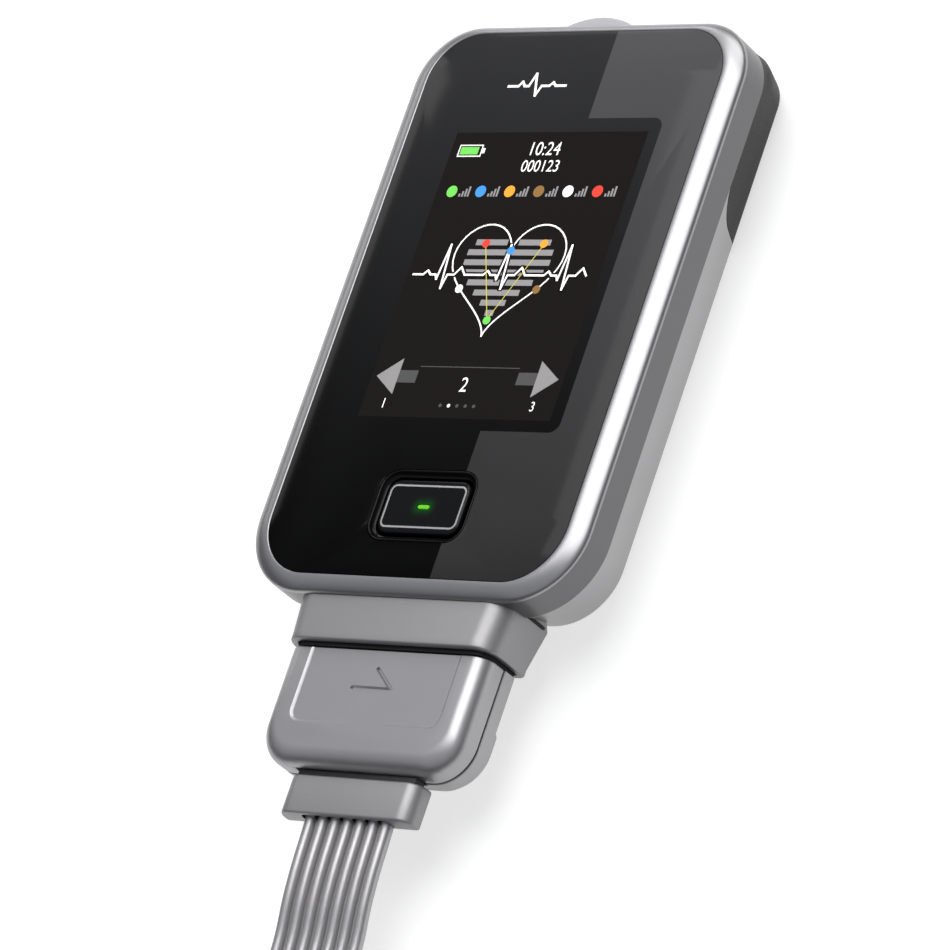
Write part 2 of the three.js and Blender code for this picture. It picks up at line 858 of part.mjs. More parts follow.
function makeFrontPlate() {
  const plate = prism(plateOutline(0), plateBackZ, frontZ);
  const hole = padOutline(
    wellWidth + 2 * fitGap, wellLength + 2 * fitGap, wellCorner + fitGap, 0, buttonY,
  );
  return plate.subtract(prism(hole, plateBackZ - cutOverrun, frontZ + cutOverrun));
}

// The cradle that holds the cell, open to the back
function cradle() {
  const lowX = pocketLowX - pocketShift - cradleWall;
  const highX = pocketHighX - pocketShift + cradleWall;
  const barrel = rod('x', 2 * cradleRadius, lowX, highX, cellY, cellZ, 2 * roundSides);
  const foot = box(lowX, highX, cellY - cradleRadius, cellY + cradleRadius, 0, cellZ);
  const below = prism(caseOutline(caseWall + fitGap), seamZ - cutOverrun, frontWallTopZ);
  return barrel.add(foot).intersect(backHalf(coverWall + fitGap, shellTopZ).add(below));
}

function cellPocket() {
  const lowX = pocketLowX - pocketShift;
  const highX = pocketHighX - pocketShift;
  const barrel = rod('x', 2 * pocketRadius, lowX, highX, cellY, cellZ, 2 * roundSides);
  return barrel.add(box(lowX, highX, cellY - pocketRadius, cellY + pocketRadius, -cutOverrun, cellZ));
}

const railX = halfWidth - railInset;
const railHighY = cellY - cradleRadius - boardEndGap - railEndGap;

function makeBackShell() {
  const outer = backHalf(0, shellTopZ).subtract(coverRegion(fitGap));
  const innerSkin = backHalf(coverWall + fitGap, shellTopZ);
  const skin = outer.add(innerSkin);
  const cavity = backHalf(caseWall + fitGap, shellTopZ + cutOverrun);
  const bayLimit = box(
    -halfWidth, halfWidth, cellY - pocketRadius, caseTopY + cutOverrun, -cutOverrun, seamZ + cutOverrun,
  );
  let shell = skin.subtract(cavity).subtract(bayLimit).add(cradle()).subtract(cellPocket());
  for (const side of [-1, 1]) {
    const middle = side * railX;
    shell = shell.add(box(
      middle - railWidth / 2, middle + railWidth / 2, railHighY - railLength, railHighY,
      caseWall, boardHeight - fitGap,
    ));
  }
  for (const [x, y] of screws) {
    const boss = rod('z', bossDiameter, screwHeadZ, bossTopZ, x, y);
    const recess = rod('z', screwHeadDiameter + 2 * fitGap, -cutOverrun, screwHeadZ + fitGap, x, y);
    const bore = rod('z', screwDiameter + 2 * fitGap, 0, bossTopZ + cutOverrun, x, y, smallSteps * 4);
    const foot = rod('z', bossDiameter, fitGap, bossTopZ, x, y).intersect(backHalf(fitGap, shellTopZ));
    shell = shell.add(boss).add(foot).subtract(recess).subtract(bore);
  }
  return shell.subtract(collarPassage()).subtract(collarSealGroove());
}

// Main board with notches round the screw bosses
const boardLowY = collarBackY + boardEndGap;
const boardHighY = cellY - cradleRadius - boardEndGap;
const boardInset = (caseWall + fitGap) * Math.hypot(1, sideTaperShare);
const boardHalf = halfWidth - sideTaperShare * (seamZ - boardHeight) - boardInset - boardEndGap;

const buzzerY = boardHighY - buzzerEndGap;

function makeBoard() {
  let board = prism(
    outline(boardHalf, boardLowY, boardHighY, caseBottomCorner - caseWall, boardTopCorner, smallSteps),
    boardHeight, boardTopZ,
  );
  for (const [x, y] of screws) {
    board = board.subtract(rod('z', bossDiameter + 2 * fitGap, boardHeight - cutOverrun,
      boardTopZ + cutOverrun, x, y));
  }
  return board;
}

function makeShieldCan() {
  const lowZ = boardHeight - fitGap - shieldHeight;
  const shieldWidth = 2 * (railX - shieldRailGap) - railWidth;
  const middleY = buzzerY - buzzerDiameter / 2 - shieldBuzzerGap - shieldLength / 2;
  const outer = padOutline(shieldWidth, shieldLength, shieldCorner, 0, middleY);
  const edge = padOutline(
    shieldWidth - shieldCorner, shieldLength - shieldCorner, shieldCorner / 2, 0, middleY,
  );
  return loft([
    { points: edge, z: lowZ },
    { points: outer, z: lowZ + shieldCorner / 2 },
    { points: outer, z: boardHeight - fitGap },
  ]);
}

function makeBuzzer() {
  return rod('z', buzzerDiameter, boardHeight - fitGap - buzzerHeight, boardHeight - fitGap,
    0, buzzerY);
}

// Contacts in the collar
const blockBackY = collarBackY;
const blockFrontY = blockBackY - blockThickness;
const pinBackY = blockFrontY - fitGap;
const collarMiddleZ = (collarTopZ + collarLowZ) / 2;

function makeSocketBlock() {
  return prismAlongY(collarSection(-collarWall - fitGap), blockFrontY, blockBackY);
}

function makeSocketPins() {
  const half = pinPitch * (pinCount - 1) / 2;
  let comb = box(
    -half - pinSize, half + pinSize, pinBackY - pinBase, pinBackY,
    collarMiddleZ - pinSize, collarMiddleZ + pinSize,
  );
  for (let index = 0; index < pinCount; index += 1) {
    const x = -half + index * pinPitch;
    comb = comb.add(box(
      x - pinSize / 2, x + pinSize / 2, pinBackY - pinBase - pinLength, pinBackY - pinBase / 2,
      collarMiddleZ - pinSize / 2, collarMiddleZ + pinSize / 2,
    ));
  }
  return comb;
}

// Cable plug
const shoulderY = lipY - shoulderGap;
const plugEndY = shoulderY - plugLength;
const plugTopZ = frontZ - plugTopDrop;
const partingZ = plugTopZ - plugFrontDepth;
const plugRearTopZ = partingZ - seamGap;
const plugLowZ = plugRearTopZ - plugRearDepth;
const yokeZ = frontZ - yokeDepth;

function plugOutline(inset) {
  const corner = plugCorner - inset * cornerTaperShare;
  return outline(plugWidth / 2 - inset, plugEndY + inset, shoulderY + plugCorner, corner, corner);
}

function plugTrim() {
  return box(
    -plugWidth, plugWidth, shoulderY, shoulderY + 2 * plugCorner, plugLowZ - plugWidth, plugTopZ + plugWidth,
  );
}

function yokeNeckPocket() {
  return box(
    -yokeNeckWidth / 2 - fitGap, yokeNeckWidth / 2 + fitGap, plugEndY - cutOverrun,
    plugEndY + yokeNeckLength + fitGap,
    yokeZ - yokeNeckThickness / 2 - fitGap, yokeZ + yokeNeckThickness / 2 + fitGap,
  );
}

// The front shell: domed edges on three sides and a shallow panel open to the shoulder
function makePlugFrontShell() {
  const rings = [{ points: plugOutline(0), z: partingZ }];
  for (let step = 0; step <= edgeSteps; step += 1) {
    const angle = Math.PI / 2 * step / edgeSteps;
    rings.push({
      points: plugOutline(plugFrontEdge * (1 - Math.cos(angle))),
      z: plugTopZ - plugFrontEdge * (1 - Math.sin(angle)),
    });
  }
  const panel = outline(
    plugPanelWidth / 2, shoulderY - plugPanelLength, shoulderY + plugCorner,
    plugPanelCorner, plugPanelCorner, smallSteps,
  );
  return loft(rings).subtract(plugTrim())
    .subtract(prism(panel, plugTopZ - plugPanelDrop, plugTopZ + cutOverrun))
    .subtract(yokeNeckPocket());
}

// The rear shell, with a finger ridge near its lower end
function makePlugRearShell() {
  const body = loft([
    { points: plugOutline(plugRearEdge), z: plugLowZ },
    { points: plugOutline(0), z: plugLowZ + plugRearEdge },
    { points: plugOutline(0), z: plugRearTopZ },
  ]);
  const ridge = loft([
    { points: ridgeOutline(gripInset + gripHeight), z: plugLowZ - gripHeight },
    { points: ridgeOutline(gripInset), z: plugLowZ + fitGap },
  ]);
  return body.add(ridge).subtract(plugTrim()).subtract(yokeNeckPocket());
}

function ridgeOutline(inset) {
  return outline(
    plugWidth / 2 - inset, plugEndY + inset, plugEndY + gripInset + gripLength + gripInset - inset,
    plugCorner / 2, gripHeight, smallSteps,
  );
}

function makePlugSeal() {
  const highY = shoulderY + fitGap + sealLength;
  const section = collarSection(-collarWall - fitGap);
  const window = box(
    -tongueWidth / 2 - fitGap, tongueWidth / 2 + fitGap, shoulderY, highY + cutOverrun,
    collarMiddleZ - tongueHeight / 2 - fitGap, collarMiddleZ + tongueHeight / 2 + fitGap,
  );
  return prismAlongY(section, shoulderY + fitGap, highY).subtract(window);
}

function makePlugTongue() {
  const lowY = shoulderY + fitGap;
  const half = pinPitch * (pinCount - 1) / 2 + pinSize + fitGap;
  const body = box(
    -tongueWidth / 2, tongueWidth / 2, lowY, lowY + tongueLength,
    collarMiddleZ - tongueHeight / 2, collarMiddleZ + tongueHeight / 2,
  );
  const slot = box(
    -half, half, lowY + tongueLength / 4, lowY + tongueLength + cutOverrun,
    collarMiddleZ - tongueSlot / 2, collarMiddleZ + tongueSlot / 2,
  );
  return body.subtract(slot);
}

const yokeHighY = plugEndY - yokeGap;
const yokeLowY = yokeHighY - yokeLength;
const leadCount = leadNames.length;

function leadOffset(index) {
  return (index - (leadCount - 1) / 2) * leadPitch;
}

function makeYoke() {
  const section = outline(
    yokeWidth / 2, yokeZ - yokeThickness / 2, yokeZ + yokeThickness / 2,
    yokeBackCorner, yokeFrontCorner, smallSteps,
  );
  let yoke = prismAlongY(section, yokeLowY, yokeHighY).add(box(
    -yokeNeckWidth / 2, yokeNeckWidth / 2, yokeHighY - fitGap, plugEndY + yokeNeckLength,
    yokeZ - yokeNeckThickness / 2, yokeZ + yokeNeckThickness / 2,
  ));
  for (let index = 0; index < leadCount; index += 1) {
    yoke = yoke.subtract(rod('y', yokeHole, yokeLowY - cutOverrun, yokeLowY + yokeHoleDepth,
      leadOffset(index), yokeZ, 2 * smallSteps + 2));
  }
  return yoke;
}

// Leads: a flat ribbon that twists on edge, then rolls up
const ribbonStartY = yokeLowY + yokeHoleDepth - fitGap;
const leadRadius = leadDiameter / 2;
const stackMiddleZ = leadRadius + leadPitch * (leadCount - 1) / 2;
const joinAngle = 2 * Math.PI * joinTurnShare;
const joinReach = bendRadius + coilRadius;
const coilX = bendRadius - joinReach * Math.cos(joinAngle);
const coilY = yokeLowY - flatLength - joinReach * Math.sin(joinAngle);
const ribbonLength = flatLength + bendRadius * joinAngle;
const stretchSteps = 11;

function smooth(value) {
  const share = THREE.MathUtils.clamp(value, 0, 1);
  return share * share * (3 - 2 * share);
}

// A point beside the ribbon's middle line, which runs straight and then bends towards the roll
function ribbonPoint(distance, offset, height) {
  const bend = Math.max(distance - flatLength, 0) / bendRadius;
  return new THREE.Vector3(
    bendRadius - (bendRadius - offset) * Math.cos(bend),
    yokeLowY - Math.min(distance, flatLength) - (bendRadius - offset) * Math.sin(bend),
    height,
  );
}

// Height of the ribbon's middle and its twist at a distance from the yoke
function ribbonAt(distance) {
  const curve = new THREE.CatmullRomCurve3(
    ribbonRoute.map(([along, height]) => new THREE.Vector3(0, along, height)),
  );
  const last = ribbonRoute[ribbonRoute.length - 1][1];
  const start = flatLength - twistDelay;
  const share = smooth((distance - start) / (ribbonLength - 2 * leadDiameter - fitGap - start));
  const height = distance < flatLength
    ? curve.getPoint(Math.max(distance, 0) / flatLength).z
    : THREE.MathUtils.lerp(last, stackMiddleZ, share);
  return { height, twist: Math.PI / 2 * share };
}

function stretchPath(index) {
  const offset = leadOffset(index);
  const end = ribbonLength - leadDiameter - fitGap;
  const path = [new THREE.Vector3(offset, ribbonStartY, ribbonRoute[0][1])];
  for (let step = 0; step <= stretchSteps; step += 1) {
    const distance = (end - leadDiameter) * step / stretchSteps;
    const { height, twist } = ribbonAt(distance);
    path.push(ribbonPoint(distance, offset * Math.cos(twist), height + offset * Math.sin(twist)));
  }
  path.push(ribbonPoint(end, 0, stackZ(index, 0)));
  return path;
}

// The rolled length of a lead and its tail, from the end of its free stretch
function coilPath(index) {
  const turns = coilTurnShares[index];
  const count = Math.round(turns * coilSteps);
  const path = [ribbonPoint(ribbonLength - leadDiameter, 0, stackZ(index, 0))];
  for (let step = 0; step <= count; step += 1) {
    const turn = step / coilSteps;
    path.push(coilPoint(turn, coilRadius - coilRise * turn, stackZ(index, turn)));
  }
  const angle = joinAngle - 2 * Math.PI * turns;
  const radius = coilRadius - coilRise * turns;
  const centre = coilPoint(turns, radius - tailRadius, leadRadius);
  for (let step = 1; step <= tailSteps; step += 1) {
    const bend = angle - 2 * Math.PI * tailTurnShare * step / tailSteps;
    path.push(new THREE.Vector3(
      centre.x + tailRadius * Math.cos(bend), centre.y + tailRadius * Math.sin(bend), leadRadius,
    ));
  }
  const last = path[path.length - 1];
  const heading = angle - 2 * Math.PI * tailTurnShare;
  path.push(last.clone().add(new THREE.Vector3(
    leadEnd * Math.sin(heading), -leadEnd * Math.cos(heading), 0,
  )));
  return path;
}

function coilPoint(turn, radius, z) {
  const angle = joinAngle - 2 * Math.PI * turn;
  return new THREE.Vector3(coilX + radius * Math.cos(angle), coilY + radius * Math.sin(angle), z);
}

// Height of a lead in the roll: its place in the stack, lower as the leads under it have left
function stackZ(index, turn) {
  let left = 0;
  for (let lower = 0; lower < index; lower += 1) {
    left += smooth((turn - coilTurnShares[lower] - dropDelayShare) / dropTurnShare);
  }
  const fromTie = ((turn - tieTurnShare + 0.5) % 1 + 1) % 1 - 0.5;
  const lift = tieLift * smooth(1 - Math.abs(fromTie) / tieSpreadShare);
  return leadRadius + leadPitch * (index - left) + lift;
}

// Least gap between points of a tube that lie further apart along it than a bend takes
function selfGap(path, diameter) {
  let least = Infinity;
  const along = [0];
  for (let index = 1; index < path.length; index += 1) {
    along.push(along[index - 1] + path[index].distanceTo(path[index - 1]));
  }
  const fine = [];
  for (let index = 1; index < path.length; index += 1) {
    for (const share of [0, 0.5]) {
      fine.push([
        path[index - 1].clone().lerp(path[index], share),
        THREE.MathUtils.lerp(along[index - 1], along[index], share),
      ]);
    }
  }
  for (let first = 0; first < fine.length; first += 1) {
    for (let second = first + 1; second < fine.length; second += 1) {
      if (fine[second][1] - fine[first][1] < 4 * diameter) continue;
      least = Math.min(least, fine[first][0].distanceTo(fine[second][0]) - diameter);
    }
  }
  return least;
}

// A snap connector at the end of a lead: a domed round body with a tapered neck
function makeSnap(index) {
  const path = coilPath(index);
  const end = path[path.length - 1];
  const heading = end.clone().sub(path[path.length - 2]).normalize();
  const radius = snapDiameter / 2;
  const profile = [
    [0, 0], [radius - snapDome / 2, 0], [radius, snapDome / 2],
    [radius, snapHeight - snapDome], [radius - snapDome, snapHeight - snapDome / 3], [0, snapHeight],
  ].map(([x, y]) => new THREE.Vector2(x, y));
  const body = new THREE.LatheGeometry(profile, snapSides);
  body.rotateX(Math.PI / 2);
  const middle = end.clone().addScaledVector(heading, fitGap + snapNeckLength + radius / 2);
  body.translate(middle.x, middle.y, 0);
  const start = end.clone().addScaledVector(heading, fitGap);
  const neckMiddleZ = Math.max(start.z, snapNeckDiameter / 2);
  const neckEnd = start.clone().addScaledVector(heading, snapNeckLength);
  const neck = new THREE.CylinderGeometry(
    snapNeckDiameter / 2, snapNeckDiameter * snapFlareShare, snapNeckLength + radius / 2,
    2 * smallSteps + 2,
  );
  neck.rotateZ(Math.PI / 2);
  neck.rotateZ(Math.atan2(heading.y, heading.x) + Math.PI);
  const neckMiddle = start.clone().lerp(neckEnd.addScaledVector(heading, radius / 2), 0.5);
  neck.translate(neckMiddle.x, neckMiddle.y, neckMiddleZ);
  const floor = box(
    middle.x - caseLength, middle.x + caseLength, middle.y - caseLength, middle.y + caseLength,
    0, caseLength,
  );
  return solidOf(body).add(solidOf(neck)).intersect(floor);
}

// The strap round the rolled leads
function makeTie() {
  const turn = tieTurnShare;
  const outerRadius = coilRadius - coilRise * turn + leadRadius + tieGap;
  const innerRadius = coilRadius - coilRise * (turn + 2) - leadRadius - tieGap;
  const lowZ = tieLift - tieGap / 2;
  const highZ = lowZ + leadPitch * (leadCount - 1) + leadDiameter + tieGap;
  const middle = (outerRadius + innerRadius) / 2;
  const outer = padOutline(
    outerRadius - innerRadius + 2 * tieThickness, highZ - lowZ + 2 * tieThickness, 2 * tieThickness,
    middle, (highZ + lowZ) / 2,
  );
  const inner = padOutline(
    outerRadius - innerRadius, highZ - lowZ, tieThickness, middle, (highZ + lowZ) / 2,
  );
  const band = prismAlongY(outer, -tieWidth / 2, tieWidth / 2)
    .subtract(prismAlongY(inner, -tieWidth, tieWidth));
  return band.rotate([0, 0, 360 * (joinTurnShare - turn)]).translate([coilX, coilY, 0]);
}

// The scene graph
function mesh(name, shape, material) {
  const geometry = shape.isBufferGeometry ? shape : geometryOf(shape);
  const result = new THREE.Mesh(geometry, material);
  result.name = name;
  return result;
}

const recorder = new THREE.Group();
recorder.add(
  mesh('front_shell', makeFrontShell(), silverPaint),
  mesh('back_shell', makeBackShell(), silverPaint),
  mesh('front_plate', makeFrontPlate(), glassBlack),
  mesh('display_module', makeDisplayModule(), glossBlack),
  mesh('display_flex', makeDisplayFlex(), flexFilm),
  mesh('button_bezel', makeButtonBezel(), glossBlack),
  mesh('front_button', makeFrontButton(), glossBlack),
  mesh('button_light_bar', makeLightBar(), greenLight),
  mesh('front_switch_plunger', makePlunger(), blackPlastic),
  mesh('front_switch', makeFrontSwitch(), steel),
  mesh('status_led', makeStatusLed(), greenLight),
  mesh('event_button', makeEventButton(), paleKey),
  mesh('event_switch', makeEventSwitch(), blackPlastic),
  mesh('main_board', makeBoard(), boardGreen),
  mesh('shield_can', makeShieldCan(), steel),
  mesh('buzzer', makeBuzzer(), blackPlastic),
  mesh('battery_cell', makeCell(), cellJacket),
  mesh('battery_spring', makeSpring(), steel),
  mesh('battery_contact', makeContactPlate(), steel),
  mesh('battery_cover', makeBatteryCover(), blackPlastic),
  mesh('socket_collar', makeCollar(), silverPaint),
  mesh('collar_seal', makeCollarSeal(), blackRubber),
  mesh('socket_block', makeSocketBlock(), blackPlastic),
  mesh('socket_pins', makeSocketPins(), goldPlate),
);
screws.forEach(([x, y], index) => {
  recorder.add(mesh(`case_screw_${index + 1}`, makeScrew(x, y), steel));
});

const plug = new THREE.Group();
plug.add(
  mesh('plug_front_shell', makePlugFrontShell(), silverPaint),
  mesh('plug_rear_shell', makePlugRearShell(), silverPaint),
  mesh('plug_seal', makePlugSeal(), blackRubber),
  mesh('plug_tongue', makePlugTongue(), blackPlastic),
  mesh('cable_yoke', makeYoke(), greyJacket),
  mesh('cable_tie', makeTie(), blackRubber),
);

let leastGap = Infinity;
leadNames.forEach((name, index) => {
  const coil = coilPath(index);
  leastGap = Math.min(leastGap, selfGap(coil, leadDiameter));
  plug.add(
    mesh(`lead_${name}`, tube(stretchPath(index), leadRadius, leadSides), greyJacket),
    mesh(`coil_${name}`, tube(coil, leadRadius, coilSides), greyJacket),
    mesh(`snap_${name}`, makeSnap(index), finish(snapColors[name], 0.45, 0)),
  );
});
console.log(`least gap of a rolled lead to itself: ${leastGap.toFixed(2)} mm`);

const part = new THREE.Group();
part.add(recorder, plug);
export default part;
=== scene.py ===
"""Looks of a pocket ECG recorder that lies on its back with its seven-lead cable plugged in.

Lengths are in millimetres until a mesh is written, which is in metres. +Z leaves the display,
+Y points at the battery end and +X is the reader's right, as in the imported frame.
"""

import logging
import math
from dataclasses import dataclass, field
from enum import Enum
from typing import Sequence

import bmesh
import bpy
from mathutils import Matrix, Vector


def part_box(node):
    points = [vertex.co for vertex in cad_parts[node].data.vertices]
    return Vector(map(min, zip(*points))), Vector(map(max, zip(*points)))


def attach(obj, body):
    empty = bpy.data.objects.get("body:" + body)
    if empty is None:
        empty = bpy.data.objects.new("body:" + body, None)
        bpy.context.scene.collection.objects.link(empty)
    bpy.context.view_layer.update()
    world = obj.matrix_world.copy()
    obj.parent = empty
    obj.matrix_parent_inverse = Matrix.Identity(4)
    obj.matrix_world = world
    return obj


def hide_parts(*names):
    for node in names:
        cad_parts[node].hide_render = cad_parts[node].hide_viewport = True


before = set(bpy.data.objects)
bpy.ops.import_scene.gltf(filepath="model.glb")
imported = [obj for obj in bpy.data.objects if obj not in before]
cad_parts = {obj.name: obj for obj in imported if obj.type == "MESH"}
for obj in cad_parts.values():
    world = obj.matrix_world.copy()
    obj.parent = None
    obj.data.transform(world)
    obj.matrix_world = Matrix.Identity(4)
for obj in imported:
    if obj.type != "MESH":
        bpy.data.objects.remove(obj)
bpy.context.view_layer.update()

MM = 0.001
EVEN = (1.0, 1.0, 1.0)
CLOUD_SIZE = 9.0
COAT_ROUGHNESS = 0.08
ROUND = 32.0
PIXEL = 0.153
GRID = 0.06
DIGIT_WIDTH = 0.86

log = logging.getLogger("ecg_recorder")

Ring = list[Vector]
Point = tuple[float, float]
Triple = tuple[float, float, float]
Line = Sequence[Point]
Points = list[Point]
Row = tuple[float, float, float, float]
Slot = bpy.types.NodeSocket
Piece = bpy.types.Object
Material = bpy.types.Material


class Axis(Enum):
    """The axis that a prism runs along."""

    X = "x"
    Y = "y"
    Z = "z"


class Body(Enum):
    """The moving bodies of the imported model."""

    RECORDER = "recorder"
    FRONT_BUTTON = "front_button_body"
    EVENT_BUTTON = "event_button_body"
    COVER = "battery_cover_body"
    CABLE = "patient_cable"


# Sizes


@dataclass(frozen=True)
class CaseSizes:
    """The casing's outline, its rim, its taper and the places that follow from them."""

    width: float = 63.2
    length: float = 97.4
    thickness: float = 18.5
    top_corner: float = 10.0
    bottom_corner: float = 12.0
    rim_side: float = 3.35
    rim_top: float = 1.8
    rim_bottom: float = 2.6
    rim_drop: float = 1.3
    plate_top_corner: float = 8.3
    plate_bottom_corner: float = 9.5
    seam_depth: float = 6.3
    seam_gap: float = 0.3
    taper: float = 0.444
    end_taper: float = 0.75
    corner_taper: float = 0.5
    back_edge: float = 4.5
    wall: float = 2.0
    lip: float = 0.2
    gap: float = 0.3
    collar_reach: float = 7.2
    event_reach: float = 2.7
    screen_rise: float = 53.5
    button_rise: float = 14.4

    @property
    def half(self) -> float:
        """Half the casing's width."""
        return self.width / 2

    @property
    def fit(self) -> float:
        """The gap round a part that fits closely."""
        return self.gap * 0.6

    @property
    def lip_y(self) -> float:
        """Where the socket collar ends."""
        return -(self.length + self.collar_reach + self.event_reach) / 2

    @property
    def bottom_y(self) -> float:
        """The casing's lower end."""
        return self.lip_y + self.collar_reach

    @property
    def top_y(self) -> float:
        """The casing's upper end."""
        return self.bottom_y + self.length

    @property
    def screen_y(self) -> float:
        """The middle of the screen."""
        return self.bottom_y + self.screen_rise

    @property
    def button_y(self) -> float:
        """The middle of the front button."""
        return self.bottom_y + self.button_rise

    @property
    def seam_z(self) -> float:
        """The height at which the front shell begins."""
        return self.thickness - self.seam_depth

    @property
    def shell_top_z(self) -> float:
        """The height at which the back shell and the cover end."""
        return self.seam_z - self.seam_gap


@dataclass(frozen=True)
class CoverSizes:
    """The black battery cover and the bay under it."""

    wall: float = 1.0
    length: float = 29.4
    corner: float = 5.5
    corner_taper: float = 0.4
    corner_swell: float = 2.2
    swell_depth: float = 4.0
    cell_diameter: float = 14.2
    cell_drop: float = 11.7
    cell_gap: float = 0.25
    cradle_wall: float = 0.8


@dataclass(frozen=True)
class CollarSizes:
    """The socket collar."""

    width: float = 39.6
    top_drop: float = 1.7
    depth: float = 10.6
    front_corner: float = 3.9
    back_corner: float = 1.5
    wall: float = 1.2
    lip_round: float = 0.35
    flare_side: float = 0.6
    flare_back: float = 1.1


@dataclass(frozen=True)
class PlugSizes:
    """The cable plug and the yoke under it."""

    shoulder_gap: float = 0.8
    length: float = 18.7
    width: float = 38.0
    top_drop: float = 3.0
    front_depth: float = 4.6
    rear_depth: float = 3.2
    parting: float = 0.3
    seam_round: float = 0.12
    front_edge: float = 2.8
    rear_edge: float = 1.2
    corner: float = 6.0
    panel_width: float = 27.8
    panel_length: float = 11.7
    panel_corner: float = 1.6
    panel_drop: float = 0.3
    arrow: Line = ((3.1, 6.1), (-4.3, 6.05), (-0.6, 2.9))
    arrow_width: float = 0.68
    arrow_depth: float = 0.42
    grip_length: float = 5.0
    grip_height: float = 0.6
    grip_inset: float = 3.0
    grip_section: Line = ((0.72, -2.0), (0.46, -1.8), (0.3, -1.3), (0.24, -0.6), (0.2, 0.5))
    yoke_gap: float = 0.9
    yoke_width: float = 25.2
    yoke_length: float = 6.2
    yoke_thickness: float = 3.6
    yoke_depth: float = 7.0
    yoke_front_corner: float = 2.5
    yoke_back_corner: float = 0.5
    yoke_round: float = 0.4
    hole_mouth: Triple = (1.14, 1.42, -0.27)
    hole_inner: Triple = (1.1, 1.25, -0.1)
    hole_depth: float = 4.5
    neck_width: float = 22.4
    neck_thickness: float = 2.4
    neck_length: float = 2.4
    neck_gap: float = 0.3


@dataclass(frozen=True)
class LeadSizes:
    """The seven leads: a flat ribbon that turns on edge and rolls up."""

    diameter: float = 2.0
    pitch: float = 2.4
    hole_depth: float = 2.7
    flat_length: float = 24.0
    twist_delay: float = 4.0
    bend_radius: float = 30.0
    join_turn: float = 0.154
    join_gap: float = 0.3
    coil_radius: float = 41.0
    coil_rise: float = 2.7
    first_turns: float = 2.75
    turn_step: float = 0.125
    drop_delay: float = 0.03
    drop_turn: float = 0.11
    tail_radius: float = 15.0
    tail_turn: float = 0.22
    lead_end: float = 2.4
    sag: float = 0.7
    sag_reach: float = 14.0
    tie_lift: float = 1.45
    tie_turn: float = 0.625
    tie_spread: float = 0.12
    tie_gap: float = 0.9
    tie_width: float = 4.0
    tie_thickness: float = 0.8
    tie_round: float = 0.25


LEAD_NAMES = ("red", "white", "brown", "black", "orange", "blue", "green")
RIBBON_STEP = 6.0
RIBBON_HEIGHTS = (11.5, 10.9, 9.9, 8.75, 8.35)

CASE = CaseSizes()
COVER = CoverSizes()
COLLAR = CollarSizes()
PLUG = PlugSizes()
LEAD = LeadSizes()

CELL_MIDDLE = (CASE.top_y - COVER.cell_drop, COVER.wall + CASE.gap + COVER.cell_gap + COVER.cell_diameter / 2)
SCREWS = (
    (-21.0, CASE.bottom_y + 12.0), (21.0, CASE.bottom_y + 12.0),
    (-24.6, CASE.bottom_y + 61.5), (24.6, CASE.bottom_y + 61.5),
)
UP = Vector((0.0, 0.0, 1.0))


# Finishes


